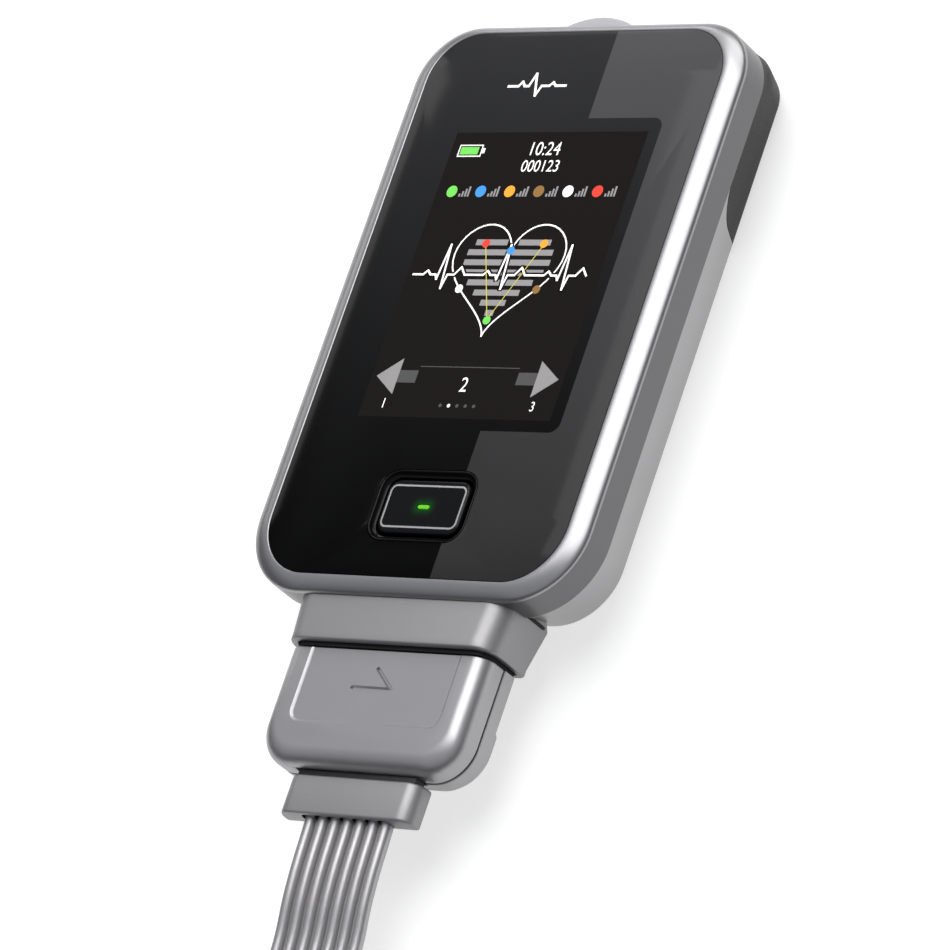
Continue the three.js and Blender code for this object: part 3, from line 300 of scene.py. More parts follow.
class Shader:
    """A material under construction: a Principled shader and the nodes that feed it."""

    def __init__(self, name: str, roughness: float, metallic: float) -> None:
        """Starts a material.

        Args:
            name: its name.
            roughness: the Principled shader's roughness.
            metallic: its share of metal.
        """
        self.material = bpy.data.materials.new(name)
        self.material.use_nodes = True
        self.tree = self.material.node_tree
        self.principled = self.tree.nodes["Principled BSDF"]
        self.set("Roughness", roughness)
        self.set("Metallic", metallic)
        self.coordinates = self.tree.nodes.new("ShaderNodeTexCoord").outputs["Object"]

    def set(self, name: str, value: object) -> None:
        """Sets a socket of the Principled shader."""
        self.principled.inputs[name].default_value = value

    def feed(self, name: str, output: Slot) -> None:
        """Feeds a socket of the Principled shader."""
        self.link(output, self.principled.inputs[name])

    def link(self, output: Slot, target: Slot) -> None:
        """Joins a socket that gives a value to one that takes it."""
        self.tree.links.new(output, target)

    def math(
        self, operation: str, first: object, second: object = 0.0, third: float = 0.0, clamp: bool = False
    ) -> Slot:
        """Adds one Math node.

        Args:
            operation: Blender's name of the operation.
            first: a socket or a number.
            second: a socket or a number.
            third: a number, which only some operations read.
            clamp: whether the result is held between 0 and 1.

        Returns:
            The node's output.
        """
        node = self.tree.nodes.new("ShaderNodeMath")
        node.operation = operation
        node.use_clamp = clamp
        for slot, value in zip(node.inputs, (first, second, third)):
            if isinstance(value, (int, float)):
                slot.default_value = value
            else:
                self.link(value, slot)
        return node.outputs[0]

    def noise(self, size: float, detail: float = 2.0, stretch: Sequence[float] = EVEN) -> Slot:
        """Adds a noise texture over the object's own coordinates.

        Args:
            size: the width of its spots in millimetres.
            detail: how many finer layers it has.
            stretch: how much it is pressed together along each axis.

        Returns:
            The noise's value.
        """
        mapping = self.tree.nodes.new("ShaderNodeMapping")
        mapping.inputs["Scale"].default_value = stretch
        self.link(self.coordinates, mapping.inputs["Vector"])
        node = self.tree.nodes.new("ShaderNodeTexNoise")
        node.inputs["Scale"].default_value = 1.0 / (size * MM)
        node.inputs["Detail"].default_value = detail
        self.link(mapping.outputs[0], node.inputs["Vector"])
        return node.outputs["Fac"]

    def spread(self, value: Slot, low: float, high: float) -> Slot:
        """Maps the middle part of a value, from 0.3 to 0.7, onto a range.

        Args:
            value: a noise value.
            low: what its low end becomes.
            high: what its high end becomes.

        Returns:
            The mapped value.
        """
        node = self.tree.nodes.new("ShaderNodeMapRange")
        for name, number in (("From Min", 0.3), ("From Max", 0.7), ("To Min", low), ("To Max", high)):
            node.inputs[name].default_value = number
        self.link(value, node.inputs["Value"])
        return node.outputs[0]

    def mix(self, share: Slot, first: object, second: object) -> Slot:
        """Mixes two colours.

        Args:
            share: how much of the second shows, from 0 to 1.
            first: a socket or a colour.
            second: a socket or a colour.

        Returns:
            The mixed colour.
        """
        node = self.tree.nodes.new("ShaderNodeMix")
        node.data_type = "RGBA"
        self.link(share, node.inputs[0])
        for slot, value in ((node.inputs[6], first), (node.inputs[7], second)):
            if isinstance(value, tuple):
                slot.default_value = (*value, 1.0)
            else:
                self.link(value, slot)
        return node.outputs[2]

    def bump(self, height: Slot, depth: float) -> None:
        """Lets a height move the surface's normal.

        Args:
            height: a value from 0 to 1.
            depth: the height of 1 in millimetres.
        """
        node = self.tree.nodes.new("ShaderNodeBump")
        node.inputs["Strength"].default_value = 1.0
        node.inputs["Distance"].default_value = depth * MM
        self.link(height, node.inputs["Height"])
        self.feed("Normal", node.outputs[0])

    def axes(self) -> tuple[Slot, Slot, Slot]:
        """Splits the object's coordinates.

        Returns:
            The x, y and z sockets, in metres.
        """
        node = self.tree.nodes.new("ShaderNodeSeparateXYZ")
        self.link(self.coordinates, node.inputs[0])
        return node.outputs[0], node.outputs[1], node.outputs[2]

    def rounded_box(self, low: Point, high: Point, corner: float) -> Slot:
        """Measures how far a point is outside a rounded rectangle in the XY plane.

        Args:
            low: the rectangle's lowest corner in millimetres.
            high: its highest corner.
            corner: its corner radius.

        Returns:
            The distance in metres, negative inside.
        """
        sides = []
        for value, least, most in zip(self.axes(), low, high):
            off = self.math("ABSOLUTE", self.math("SUBTRACT", value, (least + most) / 2 * MM))
            sides.append(self.math("SUBTRACT", off, ((most - least) / 2 - corner) * MM))
        outer = [self.math("MAXIMUM", side, 0.0) for side in sides]
        squares = self.math("ADD", self.math("POWER", outer[0], 2.0), self.math("POWER", outer[1], 2.0))
        inside = self.math("MINIMUM", self.math("MAXIMUM", *sides), 0.0)
        distance = self.math("ADD", self.math("SQRT", squares), inside)
        return self.math("SUBTRACT", distance, corner * MM)


@dataclass(frozen=True)
class Finish:
    """A moulded, painted or plated surface with grain, mottling and uneven gloss."""

    name: str
    color: Triple
    roughness: float
    metallic: float = 0.0
    coat: float = 0.0
    specular: float = 0.5
    grain: float = 0.25
    depth: float = 0.004
    mottle: float = 0.06
    glow: float = 0.0
    stretch: Triple = EVEN

    @property
    def look(self) -> str:
        """The material's name, which no material of the frame has."""
        return f"{self.name}_look"

    def shader(self) -> Shader:
        """Starts the material with its colour, gloss and grain.

        Returns:
            The shader, open for more nodes.
        """
        shader = Shader(self.look, self.roughness, self.metallic)
        cloud = shader.noise(CLOUD_SIZE, 3.0)
        darker = tuple(max(channel * (1 - self.mottle), 0.0) for channel in self.color)
        lighter = tuple(min(channel * (1 + self.mottle), 1.0) for channel in self.color)
        shader.feed("Base Color", shader.mix(cloud, darker, lighter))
        speck = shader.noise(self.grain, 2.0, self.stretch)
        shader.feed("Roughness", shader.spread(speck, self.roughness * 0.92, min(self.roughness * 1.1, 1.0)))
        shader.bump(speck, self.depth)
        shader.set("Specular IOR Level", self.specular)
        if self.coat:
            shader.set("Coat Weight", self.coat)
            shader.set("Coat Roughness", COAT_ROUGHNESS)
        if self.glow:
            shader.set("Emission Color", (*self.color, 1.0))
            shader.set("Emission Strength", self.glow)
        return shader

    def material(self) -> Material:
        """Gives the material, which is made once."""
        return bpy.data.materials.get(self.look) or self.shader().material


RIM_SILVER = Finish("rim_silver", (0.35, 0.345, 0.352), 0.33, 0.82, depth=0.0007, grain=0.18, mottle=0.03)
# Painted shade: a darker copy of the rim's silver for the front shell's upright wall.
SHADED_WALL_SILVER = Finish("wall_painted_shade", (0.165, 0.162, 0.165), 0.33, 0.8, depth=0.0007, grain=0.18, mottle=0.03)
SILVER = Finish("silver_paint", (0.41, 0.402, 0.408), 0.36, 0.72, depth=0.0008, grain=0.18, mottle=0.03)
SATIN = Finish("silver_satin", (0.405, 0.396, 0.402), 0.36, 0.72, depth=0.001, grain=0.2, mottle=0.03)
SOFT_SATIN = Finish("soft_satin", (0.335, 0.327, 0.332), 0.46, 0.66, depth=0.001, grain=0.2, mottle=0.03)
COVER_BLACK = Finish("cover_black", (0.009, 0.009, 0.0095), 0.46, specular=0.12, depth=0.006, grain=0.3)
KEY_BLACK = Finish("key_black", (0.0035, 0.0035, 0.004), 0.2, specular=0.14, depth=0.0008)
SEAL_BLACK = Finish("seal_black", (0.01, 0.01, 0.01), 0.7, depth=0.01)
MOULDED = Finish("moulded_black", (0.015, 0.015, 0.016), 0.5, depth=0.006)
PALE_KEY = Finish("pale_key", (0.47, 0.46, 0.475), 0.45, specular=0.4, depth=0.003)
STEEL = Finish("steel", (0.62, 0.62, 0.63), 0.28, 1.0, depth=0.002, stretch=(1.0, 14.0, 1.0))
GOLD = Finish("gold_plate", (0.83, 0.6, 0.22), 0.25, 1.0, depth=0.001)
BOARD = Finish("board_green", (0.02, 0.11, 0.045), 0.45, depth=0.004, mottle=0.2)
FILM = Finish("flex_film", (0.42, 0.2, 0.05), 0.35, depth=0.002)
JACKET = Finish("cell_jacket", (0.03, 0.1, 0.24), 0.28, 0.3, coat=0.5, depth=0.001)
COPPER = Finish("cell_band", (0.62, 0.3, 0.16), 0.28, 0.9, depth=0.001)
GREY_LEAD = Finish("lead_grey", (0.44, 0.43, 0.434), 0.37, 0.66, depth=0.0002, grain=0.5, mottle=0.04)
LAMP = Finish("lamp_green", (0.1, 0.48, 0.012), 0.3, glow=0.45)
SNAP_COLORS = {
    "red": (0.56, 0.03, 0.025), "white": (0.72, 0.71, 0.68), "brown": (0.15, 0.07, 0.03),
    "black": (0.012, 0.012, 0.013), "orange": (0.75, 0.25, 0.03), "blue": (0.03, 0.22, 0.58),
    "green": (0.08, 0.42, 0.06),
}


# Solids


def placed(name: str, data: bpy.types.ID) -> Piece:
    """Makes an object at the origin, linked to the scene.

    Args:
        name: its name.
        data: its mesh, curve, light or camera.

    Returns:
        The object.
    """
    made = bpy.data.objects.new(name, data)
    bpy.context.scene.collection.objects.link(made)
    return made


def evaluated(piece: Piece) -> bpy.types.Mesh:
    """Makes a plain mesh of what a piece's modifiers or text give."""
    depsgraph = bpy.context.evaluated_depsgraph_get()
    return bpy.data.meshes.new_from_object(piece.evaluated_get(depsgraph))


def quarter(steps: int) -> list[tuple[float, float]]:
    """Gives the cosine and the sine at even steps of a quarter turn, with both its ends."""
    angles = [math.pi / 2 * step / steps for step in range(steps + 1)]
    return [(math.cos(angle), math.sin(angle)) for angle in angles]


def outline(half: float, low_y: float, high_y: float, low_r: float, high_r: float, steps: int = 16) -> Points:
    """Draws a rounded rectangle that is symmetrical about x = 0, anticlockwise.

    Args:
        half: half its width.
        low_y: its lower edge.
        high_y: its upper edge.
        low_r: the radius of the two lower corners.
        high_r: the radius of the two upper corners.
        steps: how many steps each corner takes.

    Returns:
        The outline's points.
    """
    corners = (
        (half - high_r, high_y - high_r, high_r, 0),
        (-half + high_r, high_y - high_r, high_r, 1),
        (-half + low_r, low_y + low_r, low_r, 2),
        (half - low_r, low_y + low_r, low_r, 3),
    )
    points = []
    for x, y, radius, turn in corners:
        for step in range(steps + 1):
            angle = (turn + step / steps) * math.pi / 2
            points.append((x + radius * math.cos(angle), y + radius * math.sin(angle)))
    return points


def pad(width: float, length: float, corner: float, middle: Point = (0.0, 0.0), steps: int = 8) -> Points:
    """Draws a rounded rectangle about a middle point."""
    drawn = outline(width / 2, -length / 2, length / 2, corner, corner, steps)
    return [(x + middle[0], y + middle[1]) for x, y in drawn]


def level(points: Line, place: float, axis: Axis = Axis.Z) -> Ring:
    """Puts an outline in space, square to an axis.

    Args:
        points: the outline. Its second value is Z for a section across X or Y.
        place: where it lies along the axis.
        axis: the axis it is square to.

    Returns:
        The ring of points.
    """
    if axis is Axis.Z:
        return [Vector((x, y, place)) for x, y in points]
    if axis is Axis.Y:
        return [Vector((x, place, z)) for x, z in reversed(points)]
    return [Vector((place, y, z)) for y, z in points]


def smooth(value: float) -> float:
    """Eases a value between 0 and 1."""
    share = min(max(value, 0.0), 1.0)
    return share * share * (3 - 2 * share)


class Solid:
    """A closed mesh that is built, cut and dressed in steps."""

    def __init__(self, piece: Piece) -> None:
        """Takes a mesh object over."""
        self.object = piece

    @classmethod
    def loft(cls, name: str, rings: Sequence[Ring], closed: bool = False) -> "Solid":
        """Skins rings that have the same count of points.

        Args:
            name: the piece's name.
            rings: the rings in order, in millimetres.
            closed: whether the last ring joins the first, so that it needs no caps.

        Returns:
            The solid.
        """
        count = len(rings[0])
        vertices = [tuple(point * MM) for ring in rings for point in ring]
        faces: list[tuple[int, ...]] = []
        levels = len(rings) if closed else len(rings) - 1
        for row in range(levels):
            start, after = row * count, (row + 1) % len(rings) * count
            for side in range(count):
                beside = (side + 1) % count
                faces.append((start + side, start + beside, after + beside, after + side))
        if not closed:
            faces.append(tuple(reversed(range(count))))
            faces.append(tuple((len(rings) - 1) * count + side for side in range(count)))
        mesh = bpy.data.meshes.new(name)
        mesh.from_pydata(vertices, [], faces)
        mesh.update()
        solid = cls(placed(name, mesh))
        solid._clean()
        return solid

    @classmethod
    def prism(cls, name: str, points: Line, low: float, high: float, axis: Axis = Axis.Z) -> "Solid":
        """Makes a straight prism of an outline between two places along an axis."""
        return cls.loft(name, [level(points, low, axis), level(points, high, axis)])

    @classmethod
    def block(cls, name: str, low: Sequence[float], high: Sequence[float]) -> "Solid":
        """Makes a cutting block between its lowest and its highest corner."""
        points = [(low[0], low[1]), (high[0], low[1]), (high[0], high[1]), (low[0], high[1])]
        return cls.prism(name, points, low[2], high[2])

    @classmethod
    def turned(cls, name: str, profile: Line, origin: Vector, along: Vector, sides: int = 48) -> "Solid":
        """Turns a profile about a line.

        Args:
            name: the piece's name.
            profile: pairs of radius and place along the line, from one pole to the other.
            origin: where the line starts.
            along: the line's direction.
            sides: how many sides it has.

        Returns:
            The solid.
        """
        turn = along.normalized().to_track_quat("Z", "Y").to_matrix()
        rings = []
        for radius, place in profile:
            ring = []
            for side in range(sides):
                angle = 2 * math.pi * side / sides
                reach = max(radius, 0.01)
                ring.append(origin + turn @ Vector((reach * math.cos(angle), reach * math.sin(angle), place)))
            rings.append(ring)
        return cls.loft(name, rings)

    def _clean(self) -> None:
        """Merges doubled points and turns every face outwards."""
        data = bmesh.new()
        data.from_mesh(self.object.data)
        bmesh.ops.remove_doubles(data, verts=data.verts, dist=1e-7)
        bmesh.ops.recalc_face_normals(data, faces=data.faces)
        data.to_mesh(self.object.data)
        data.free()

    def _evaluate(self) -> None:
        """Replaces the mesh by what its modifiers make of it."""
        made = evaluated(self.object)
        old = self.object.data
        self.object.modifiers.clear()
        self.object.data = made
        bpy.data.meshes.remove(old)

    def _combine(self, other: "Solid", operation: str) -> "Solid":
        """Joins, cuts or intersects with another solid, which is used up.

        Args:
            other: the other solid.
            operation: Blender's name of the operation.

        Returns:
            This solid.
        """
        modifier = self.object.modifiers.new("combine", "BOOLEAN")
        modifier.operation = operation
        modifier.solver = "MANIFOLD"
        modifier.object = other.object
        self._evaluate()
        bpy.data.objects.remove(other.object)
        return self

    def cut(self, other: "Solid") -> "Solid":
        """Takes another solid out of this one."""
        return self._combine(other, "DIFFERENCE")

    def join(self, other: "Solid") -> "Solid":
        """Adds another solid to this one."""
        return self._combine(other, "UNION")

    def keep(self, other: "Solid") -> "Solid":
        """Keeps what this solid shares with another."""
        return self._combine(other, "INTERSECT")

    def soften(self, width: float, segments: int = 2, angle: float = 40.0) -> "Solid":
        """Rounds its sharp edges.

        Args:
            width: how far the rounding reaches in millimetres.
            segments: how many steps it takes.
            angle: the least angle in degrees of an edge that is rounded.

        Returns:
            This solid.
        """
        modifier = self.object.modifiers.new("soften", "BEVEL")
        modifier.width = width * MM
        modifier.segments = segments
        modifier.limit_method = "ANGLE"
        modifier.angle_limit = math.radians(angle)
        modifier.use_clamp_overlap = True
        self._evaluate()
        return self

    def dress(self, finish: Finish | Material, body: Body, *nodes: str, smooth: float = ROUND) -> Piece:
        """Finishes the piece and puts it on its body, as the function dress says."""
        return dress(self.object, finish, body, *nodes, smooth=smooth)


def dress(piece: Piece, finish: Finish | Material, body: Body, *nodes: str, smooth: float = ROUND) -> Piece:
    """Gives a piece its material, its shading and its body.

    Args:
        piece: the mesh object.
        finish: its finish or material.
        body: the body that it rides on.
        nodes: the CAD nodes that it stands for.
        smooth: the greatest angle in degrees that is shaded round.

    Returns:
        The piece.
    """
    data = bmesh.new()
    data.from_mesh(piece.data)
    for face in data.faces:
        face.smooth = True
    for edge in data.edges:
        edge.smooth = len(edge.link_faces) != 2 or edge.calc_face_angle(0.0) < math.radians(smooth)
    data.to_mesh(piece.data)
    data.free()
    piece.data.materials.clear()
    piece.data.materials.append(finish.material() if isinstance(finish, Finish) else finish)
    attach(piece, body.value)
    if nodes:
        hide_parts(*nodes)
    return piece


# Geometry Nodes


class Tree:
    """A Geometry Nodes tree with named inputs, ended by Realize Instances and Set Material."""

    def __init__(self, name: str) -> None:
        """Starts a tree.

        Args:
            name: its name.
        """
        self.tree = bpy.data.node_groups.new(name, "GeometryNodeTree")
        self.tree.interface.new_socket("Geometry", in_out="INPUT", socket_type="NodeSocketGeometry")
        self.tree.interface.new_socket("Geometry", in_out="OUTPUT", socket_type="NodeSocketGeometry")
        self.source = self.tree.nodes.new("NodeGroupInput")
        self.identifiers: dict[str, str] = {}

    def input(self, name: str, default: object) -> Slot:
        """Adds a named input.

        Args:
            name: its name.
            default: its default value, whose type gives the input's type.

        Returns:
            The socket that gives it inside the tree.
        """
        kind = {float: "Float", int: "Int", tuple: "Vector"}.get(type(default), "Material")
        made = self.tree.interface.new_socket(name, in_out="INPUT", socket_type="NodeSocket" + kind)
        if default is not None:
            made.default_value = default
        self.identifiers[name] = made.identifier
        return next(slot for slot in self.source.outputs if slot.identifier == made.identifier)

    def add(self, kind: str, settings: dict[str, object] | None = None, **values: object) -> Slot:
        """Adds a node.

        Args:
            kind: Blender's name of its type.
            settings: its own properties.
            values: values or sockets for its inputs, with _ for a space in their names and
                after a name that Python keeps for itself.

        Returns:
            The node's first output.
        """
        node = self.tree.nodes.new(kind)
        for key, value in (settings or {}).items():
            setattr(node, key, value)
        for key, value in values.items():
            slot = node.inputs[key.rstrip("_").replace("_", " ")]
            if isinstance(value, Slot):
                self.tree.links.new(value, slot)
            else:
                slot.default_value = value
        return node.outputs[0]

    def join(self, *parts: Slot) -> Slot:
        """Joins geometries.

        Args:
            parts: the geometries.

        Returns:
            All of them as one.
        """
        node = self.tree.nodes.new("GeometryNodeJoinGeometry")
        for part in reversed(parts):
            self.tree.links.new(part, node.inputs[0])
        return node.outputs[0]

    def finish(self, shape: Slot) -> "Tree":
        """Ends the tree.

        Args:
            shape: the geometry that it gives.

        Returns:
            This tree.
        """
        material = self.input("Finish", None)
        real = self.add("GeometryNodeRealizeInstances", Geometry=shape)
        painted = self.add("GeometryNodeSetMaterial", Geometry=real, Material=material)
        end = self.tree.nodes.new("NodeGroupOutput")
        self.tree.links.new(painted, end.inputs[0])
        return self

    def grow(self, name: str, finish: Finish, start: bpy.types.ID | None = None, **values: object) -> Piece:
        """Runs the tree and keeps its result as a plain mesh.

        Args:
            name: the new piece's name.
            finish: its finish.
            start: a curve or mesh that the tree starts from.
            values: values for its named inputs, with _ for a space.

        Returns:
            The new piece.
        """
        carrier = placed(name + "_carrier", start or bpy.data.meshes.new(name + "_start"))
        modifier = carrier.modifiers.new("tree", "NODES")
        modifier.node_group = self.tree
        modifier[self.identifiers["Finish"]] = finish.material()
        for key, value in values.items():
            modifier[self.identifiers[key.replace("_", " ")]] = value
        carrier.update_tag()
        made = evaluated(carrier)
        bpy.data.objects.remove(carrier)
        return placed(name, made)


def tube_tree() -> Tree:
    """Makes a tree that sweeps a round section along a curve.

    Returns:
        The tree, with the inputs Radius and Sides.
    """
    tree = Tree("swept_tube")
    radius = tree.input("Radius", 0.001)
    sides = tree.input("Sides", 12)
    section = tree.add("GeometryNodeCurvePrimitiveCircle", Resolution=sides, Radius=radius)
    line = tree.source.outputs[0]
    swept = tree.add("GeometryNodeCurveToMesh", Curve=line, Profile_Curve=section, Fill_Caps=True)
    return tree.finish(swept)


def row_tree() -> Tree:
    """Makes a tree that sets equal bars in a row.

    Returns:
        The tree, with the inputs Count, Start, Step and Bar.
    """
    tree = Tree("bar_row")
    count = tree.input("Count", 3)
    start = tree.input("Start", (0.0, 0.0, 0.0))
    step = tree.input("Step", (0.001, 0.0, 0.0))
    size = tree.input("Bar", (0.001, 0.001, 0.001))
    line = tree.add("GeometryNodeMeshLine", Count=count, Start_Location=start, Offset=step)
    bar = tree.add("GeometryNodeMeshCube", Size=size)
    return tree.finish(tree.add("GeometryNodeInstanceOnPoints", Points=line, Instance=bar))


def plate_tree() -> Tree:
    """Makes a tree that cuts the front glass from a rounded outline and a rounded opening.

    Returns:
        The tree, with the inputs Width, Length, Middle, Top Corner, Bottom Corner, Hole Width,
        Hole Length, Hole Corner, Hole Middle, Low, Thickness and Corner Steps.
    """
    tree = Tree("front_glass_plate")
    steps = tree.input("Corner Steps", 24)
    thickness = tree.input("Thickness", 0.001)
    low = tree.input("Low", (0.0, 0.0, 0.0))

    def loop(prefix: str, radius: Slot) -> Slot:
        """Draws a rounded rectangle.

        Args:
            prefix: what its inputs' names begin with.
            radius: its corner radius.

        Returns:
            The closed curve.
        """
        drawn = tree.add(
            "GeometryNodeCurvePrimitiveQuadrilateral",
            Width=tree.input(prefix + "Width", 0.05), Height=tree.input(prefix + "Length", 0.09),
        )
        bend = tree.add("GeometryNodeFilletCurve", {"mode": "POLY"}, Curve=drawn, Count=steps, Radius=radius)
        middle = tree.input(prefix + "Middle", (0.0, 0.0, 0.0))
        return tree.add("GeometryNodeTransform", Geometry=bend, Translation=middle)

    place = tree.add("GeometryNodeInputPosition")
    split = tree.add("ShaderNodeSeparateXYZ", Vector=place).node
    upper = tree.add("FunctionNodeCompare", {"operation": "GREATER_THAN"}, A=split.outputs[1], B=0.0)
    corner = tree.add(
        "GeometryNodeSwitch", {"input_type": "FLOAT"}, Switch=upper,
        False_=tree.input("Bottom Corner", 0.009), True_=tree.input("Top Corner", 0.008),
    )
    edge = loop("", corner)
    hole = loop("Hole ", tree.input("Hole Corner", 0.003))
    sheet = tree.add("GeometryNodeFillCurve", {"mode": "TRIANGLES"}, Curve=tree.join(edge, hole))
    raised = tree.add(
        "GeometryNodeExtrudeMesh", {"mode": "FACES"}, Mesh=sheet, Offset=(0.0, 0.0, 1.0),
        Offset_Scale=thickness, Individual=False,
    )
    under = tree.add("GeometryNodeFlipFaces", Mesh=sheet)
    closed = tree.add("GeometryNodeMergeByDistance", Geometry=tree.join(raised, under), Distance=1e-6)
    return tree.finish(tree.add("GeometryNodeTransform", Geometry=closed, Translation=low))


# Casing


@dataclass(frozen=True)
class GlassToneAndPaintedReflection:
    """The glass's colour: near-black, with a lighter grey field on the right, and a painted reflection that
    lightens both towards the upper end.
    """

    roughness: float = 0.09
    specular: float = 0.07
    field_x: float = 6.05
    frame_low: Point = (-60.0, -26.4)
    frame_high: Point = (20.48, 26.8)
    frame_corner: float = 1.8
    blur: float = 0.05
    fade: float = 1.6
    # Each pair is a tone at the lower end and one at the upper end; the change between them is a painted
    # reflection.
    dark: tuple[Triple, Triple] = ((0.0006, 0.0006, 0.0006), (0.034, 0.034, 0.035))
    light: tuple[Triple, Triple] = ((0.031, 0.029, 0.0295), (0.09, 0.087, 0.089))
    ripple: float = 6.0
    ripple_depth: float = 0.0006

    def material(self) -> Material:
        """Makes the material.

        Returns:
            The material.
        """
        shader = Shader("front_glass", self.roughness, 0.0)
        x, y, _ = shader.axes()
        sharp = 1.0 / (self.blur * MM)
        right = shader.math("MULTIPLY", shader.math("SUBTRACT", x, self.field_x * MM), sharp, clamp=True)
        low = (self.frame_low[0], CASE.screen_y + self.frame_low[1])
        high = (self.frame_high[0], CASE.screen_y + self.frame_high[1])
        frame_box = shader.rounded_box(low, high, self.frame_corner)
        outside = shader.math("MULTIPLY", frame_box, sharp, clamp=True)
        field = shader.math("MULTIPLY", right, outside)
        # Painted reflection: both tones grow lighter from the casing's lower end to its upper end.
        start = -CASE.bottom_y / CASE.length
        rise = shader.math("MULTIPLY_ADD", y, 1.0 / (CASE.length * MM), start, clamp=True)
        dark = shader.mix(shader.math("POWER", rise, self.fade), *self.dark)
        light = shader.mix(rise, *self.light)
        shader.feed("Base Color", shader.mix(field, dark, light))
        shader.bump(shader.noise(self.ripple, 1.0), self.ripple_depth)
        shader.set("Specular IOR Level", self.specular)
        return shader.material


def circle(radius: float, x: float, y: float, steps: int = 64) -> Points:
    """Draws a circle about a middle point."""
    angles = [2 * math.pi * step / steps for step in range(steps)]
    return [(x + radius * math.cos(angle), y + radius * math.sin(angle)) for angle in angles]


@dataclass(frozen=True)
class Casing:
    """The front and back shells, the glass, the battery cover and what shows between them."""

    sizes: CaseSizes = CASE
    cover: CoverSizes = COVER
    collar: CollarSizes = COLLAR
    seam_rise: float = 0.07
    seam_round: float = 0.08
    dome_foot: float = 0.86
    dome_top: float = 0.07
    wall_drop: float = 0.45
    glass_fit: float = 0.02
    ledge_drop: float = 1.4
    ledge_reach: float = 1.6
    ledge_thickness: float = 1.2
    ledge_foot: float = 1.4
    event_slot: Triple = (16.4, 3.8, 0.8)
    cradle_low: float = -27.85
    cradle_high: float = 28.1
    cradle_drop: float = 1.6
    collar_groove: float = 1.1
    groove_depth: float = 1.2
    recess: Line = ((0.0, -1.0), (2.35, -1.0), (2.35, 0.0), (2.2, 0.15), (2.2, 2.9), (0.0, 2.9))
    grip_count: int = 6
    grip_start: float = 5.0
    grip_pitch: float = 1.7
    grip_bar: Triple = (15.0, 0.75, 0.7)
    glass_gap: float = 0.07
    glass_thickness: float = 1.2
    hole_width: float = 18.6
    hole_length: float = 12.0
    hole_corner: float = 3.3

    def rim(self, inset: float) -> Points:
        """Draws the casing's outline, drawn in by a length at the sides."""
        s, end, corner = self.sizes, inset * self.sizes.end_taper, inset * self.sizes.corner_taper
        return outline(
            s.half - inset, s.bottom_y + end, s.top_y - end,
            max(s.bottom_corner - corner, 0.3), max(s.top_corner - corner, 0.3),
        )

    def plate(self, inset: float) -> Points:
        """Draws the glass's outline, drawn in by a length all round."""
        s = self.sizes
        return outline(
            s.half - s.rim_side - inset, s.bottom_y + s.rim_bottom + inset, s.top_y - s.rim_top - inset,
            s.plate_bottom_corner - inset, s.plate_top_corner - inset,
        )

    def edge_levels(self, inset: float, steps: int) -> Points:
        """Works out the back's rounded edge, from the flat back up to the tapered side.

        Args:
            inset: how far inside the outer surface it lies.
            steps: how many steps it takes.

        Returns:
            Pairs of how far each step is drawn in and its height.
        """
        s = self.sizes
        taper, edge = s.taper, s.back_edge
        slant = math.hypot(1, taper)
        tangent_z = edge * (1 - taper / slant)
        centre = taper * (s.seam_z - tangent_z) + edge / slant
        end = math.asin(1 / slant)
        radius = edge - inset
        angles = [end * step / steps for step in range(steps + 1)]
        return [(centre - radius * math.sin(angle), edge - radius * math.cos(angle)) for angle in angles]

    def back(self, name: str, inset: float, top_z: float) -> Solid:
        """Makes the tapered back with its rounded edge, drawn in all round by a length.

        Args:
            name: the piece's name.
            inset: how far inside the outer surface it lies.
            top_z: where it ends.

        Returns:
            The solid.
        """
        s = self.sizes
        rings = [level(self.rim(reach), z) for reach, z in self.edge_levels(inset, 8)]
        rings.append(level(self.rim(s.taper * (s.seam_z - top_z) + inset * math.hypot(1, s.taper)), top_z))
        return Solid.loft(name, rings)

    def fuller_back(self, name: str, inset: float, top_z: float) -> Solid:
        """Makes the back as the cover has it: fuller towards its upright end.

        Args:
            name: the piece's name.
            inset: how far inside the outer surface it lies.
            top_z: where it ends.

        Returns:
            The solid.
        """
        s, c = self.sizes, self.cover
        levels = self.edge_levels(inset, 12)
        low = levels[-1]
        for step in range(1, 9):
            z = low[1] + (top_z - low[1]) * step / 8
            levels.append((low[0] - s.taper * (z - low[1]), z))
        rings = []
        for reach, z in levels:
            swell = smooth((s.shell_top_z - z) / c.swell_depth)
            corner = s.top_corner - reach * c.corner_taper - c.corner_swell * swell - inset * 0.5
            corner = max(corner, 0.5)
            ring = outline(s.half - reach, s.bottom_y + reach, s.top_y - inset, corner, corner)
            rings.append(level(ring, z))
        return Solid.loft(name, rings)

    def cover_region(self, grow: float) -> Solid:
        """Makes the space that the cover takes.

        Args:
            grow: how far it is grown at its lower edge.

        Returns:
            The solid.
        """
        s, c = self.sizes, self.cover
        low = s.top_y - c.length
        radius = c.corner + grow
        points = [(s.top_y + 1, -1.0), (s.top_y + 1, s.seam_z + 1), (low + c.corner, s.seam_z + 1)]
        for step in range(13):
            angle = math.pi / 2 * (1 + step / 12)
            across, up = radius * math.cos(angle), radius * math.sin(angle)
            points.append((low + c.corner + across, s.shell_top_z - c.corner + up))
        points.append((low - grow, -1.0))
        return Solid.prism("region", points, -s.half - 1, s.half + 1, Axis.X)

    def collar_section(self, grow: float) -> Points:
        """Draws the collar's outline in X and Z, grown by a length all round."""
        c, top = self.collar, self.sizes.thickness - self.collar.top_drop
        return outline(
            c.width / 2 + grow, top - c.depth - grow, top + grow,
            c.back_corner + grow, c.front_corner + grow, 10,
        )

    def passage(self) -> Solid:
        """Makes what the end walls leave out for the collar."""
        s = self.sizes
        return Solid.prism("passage", self.collar_section(s.fit), s.bottom_y - 1, s.bottom_y + 4, Axis.Y)

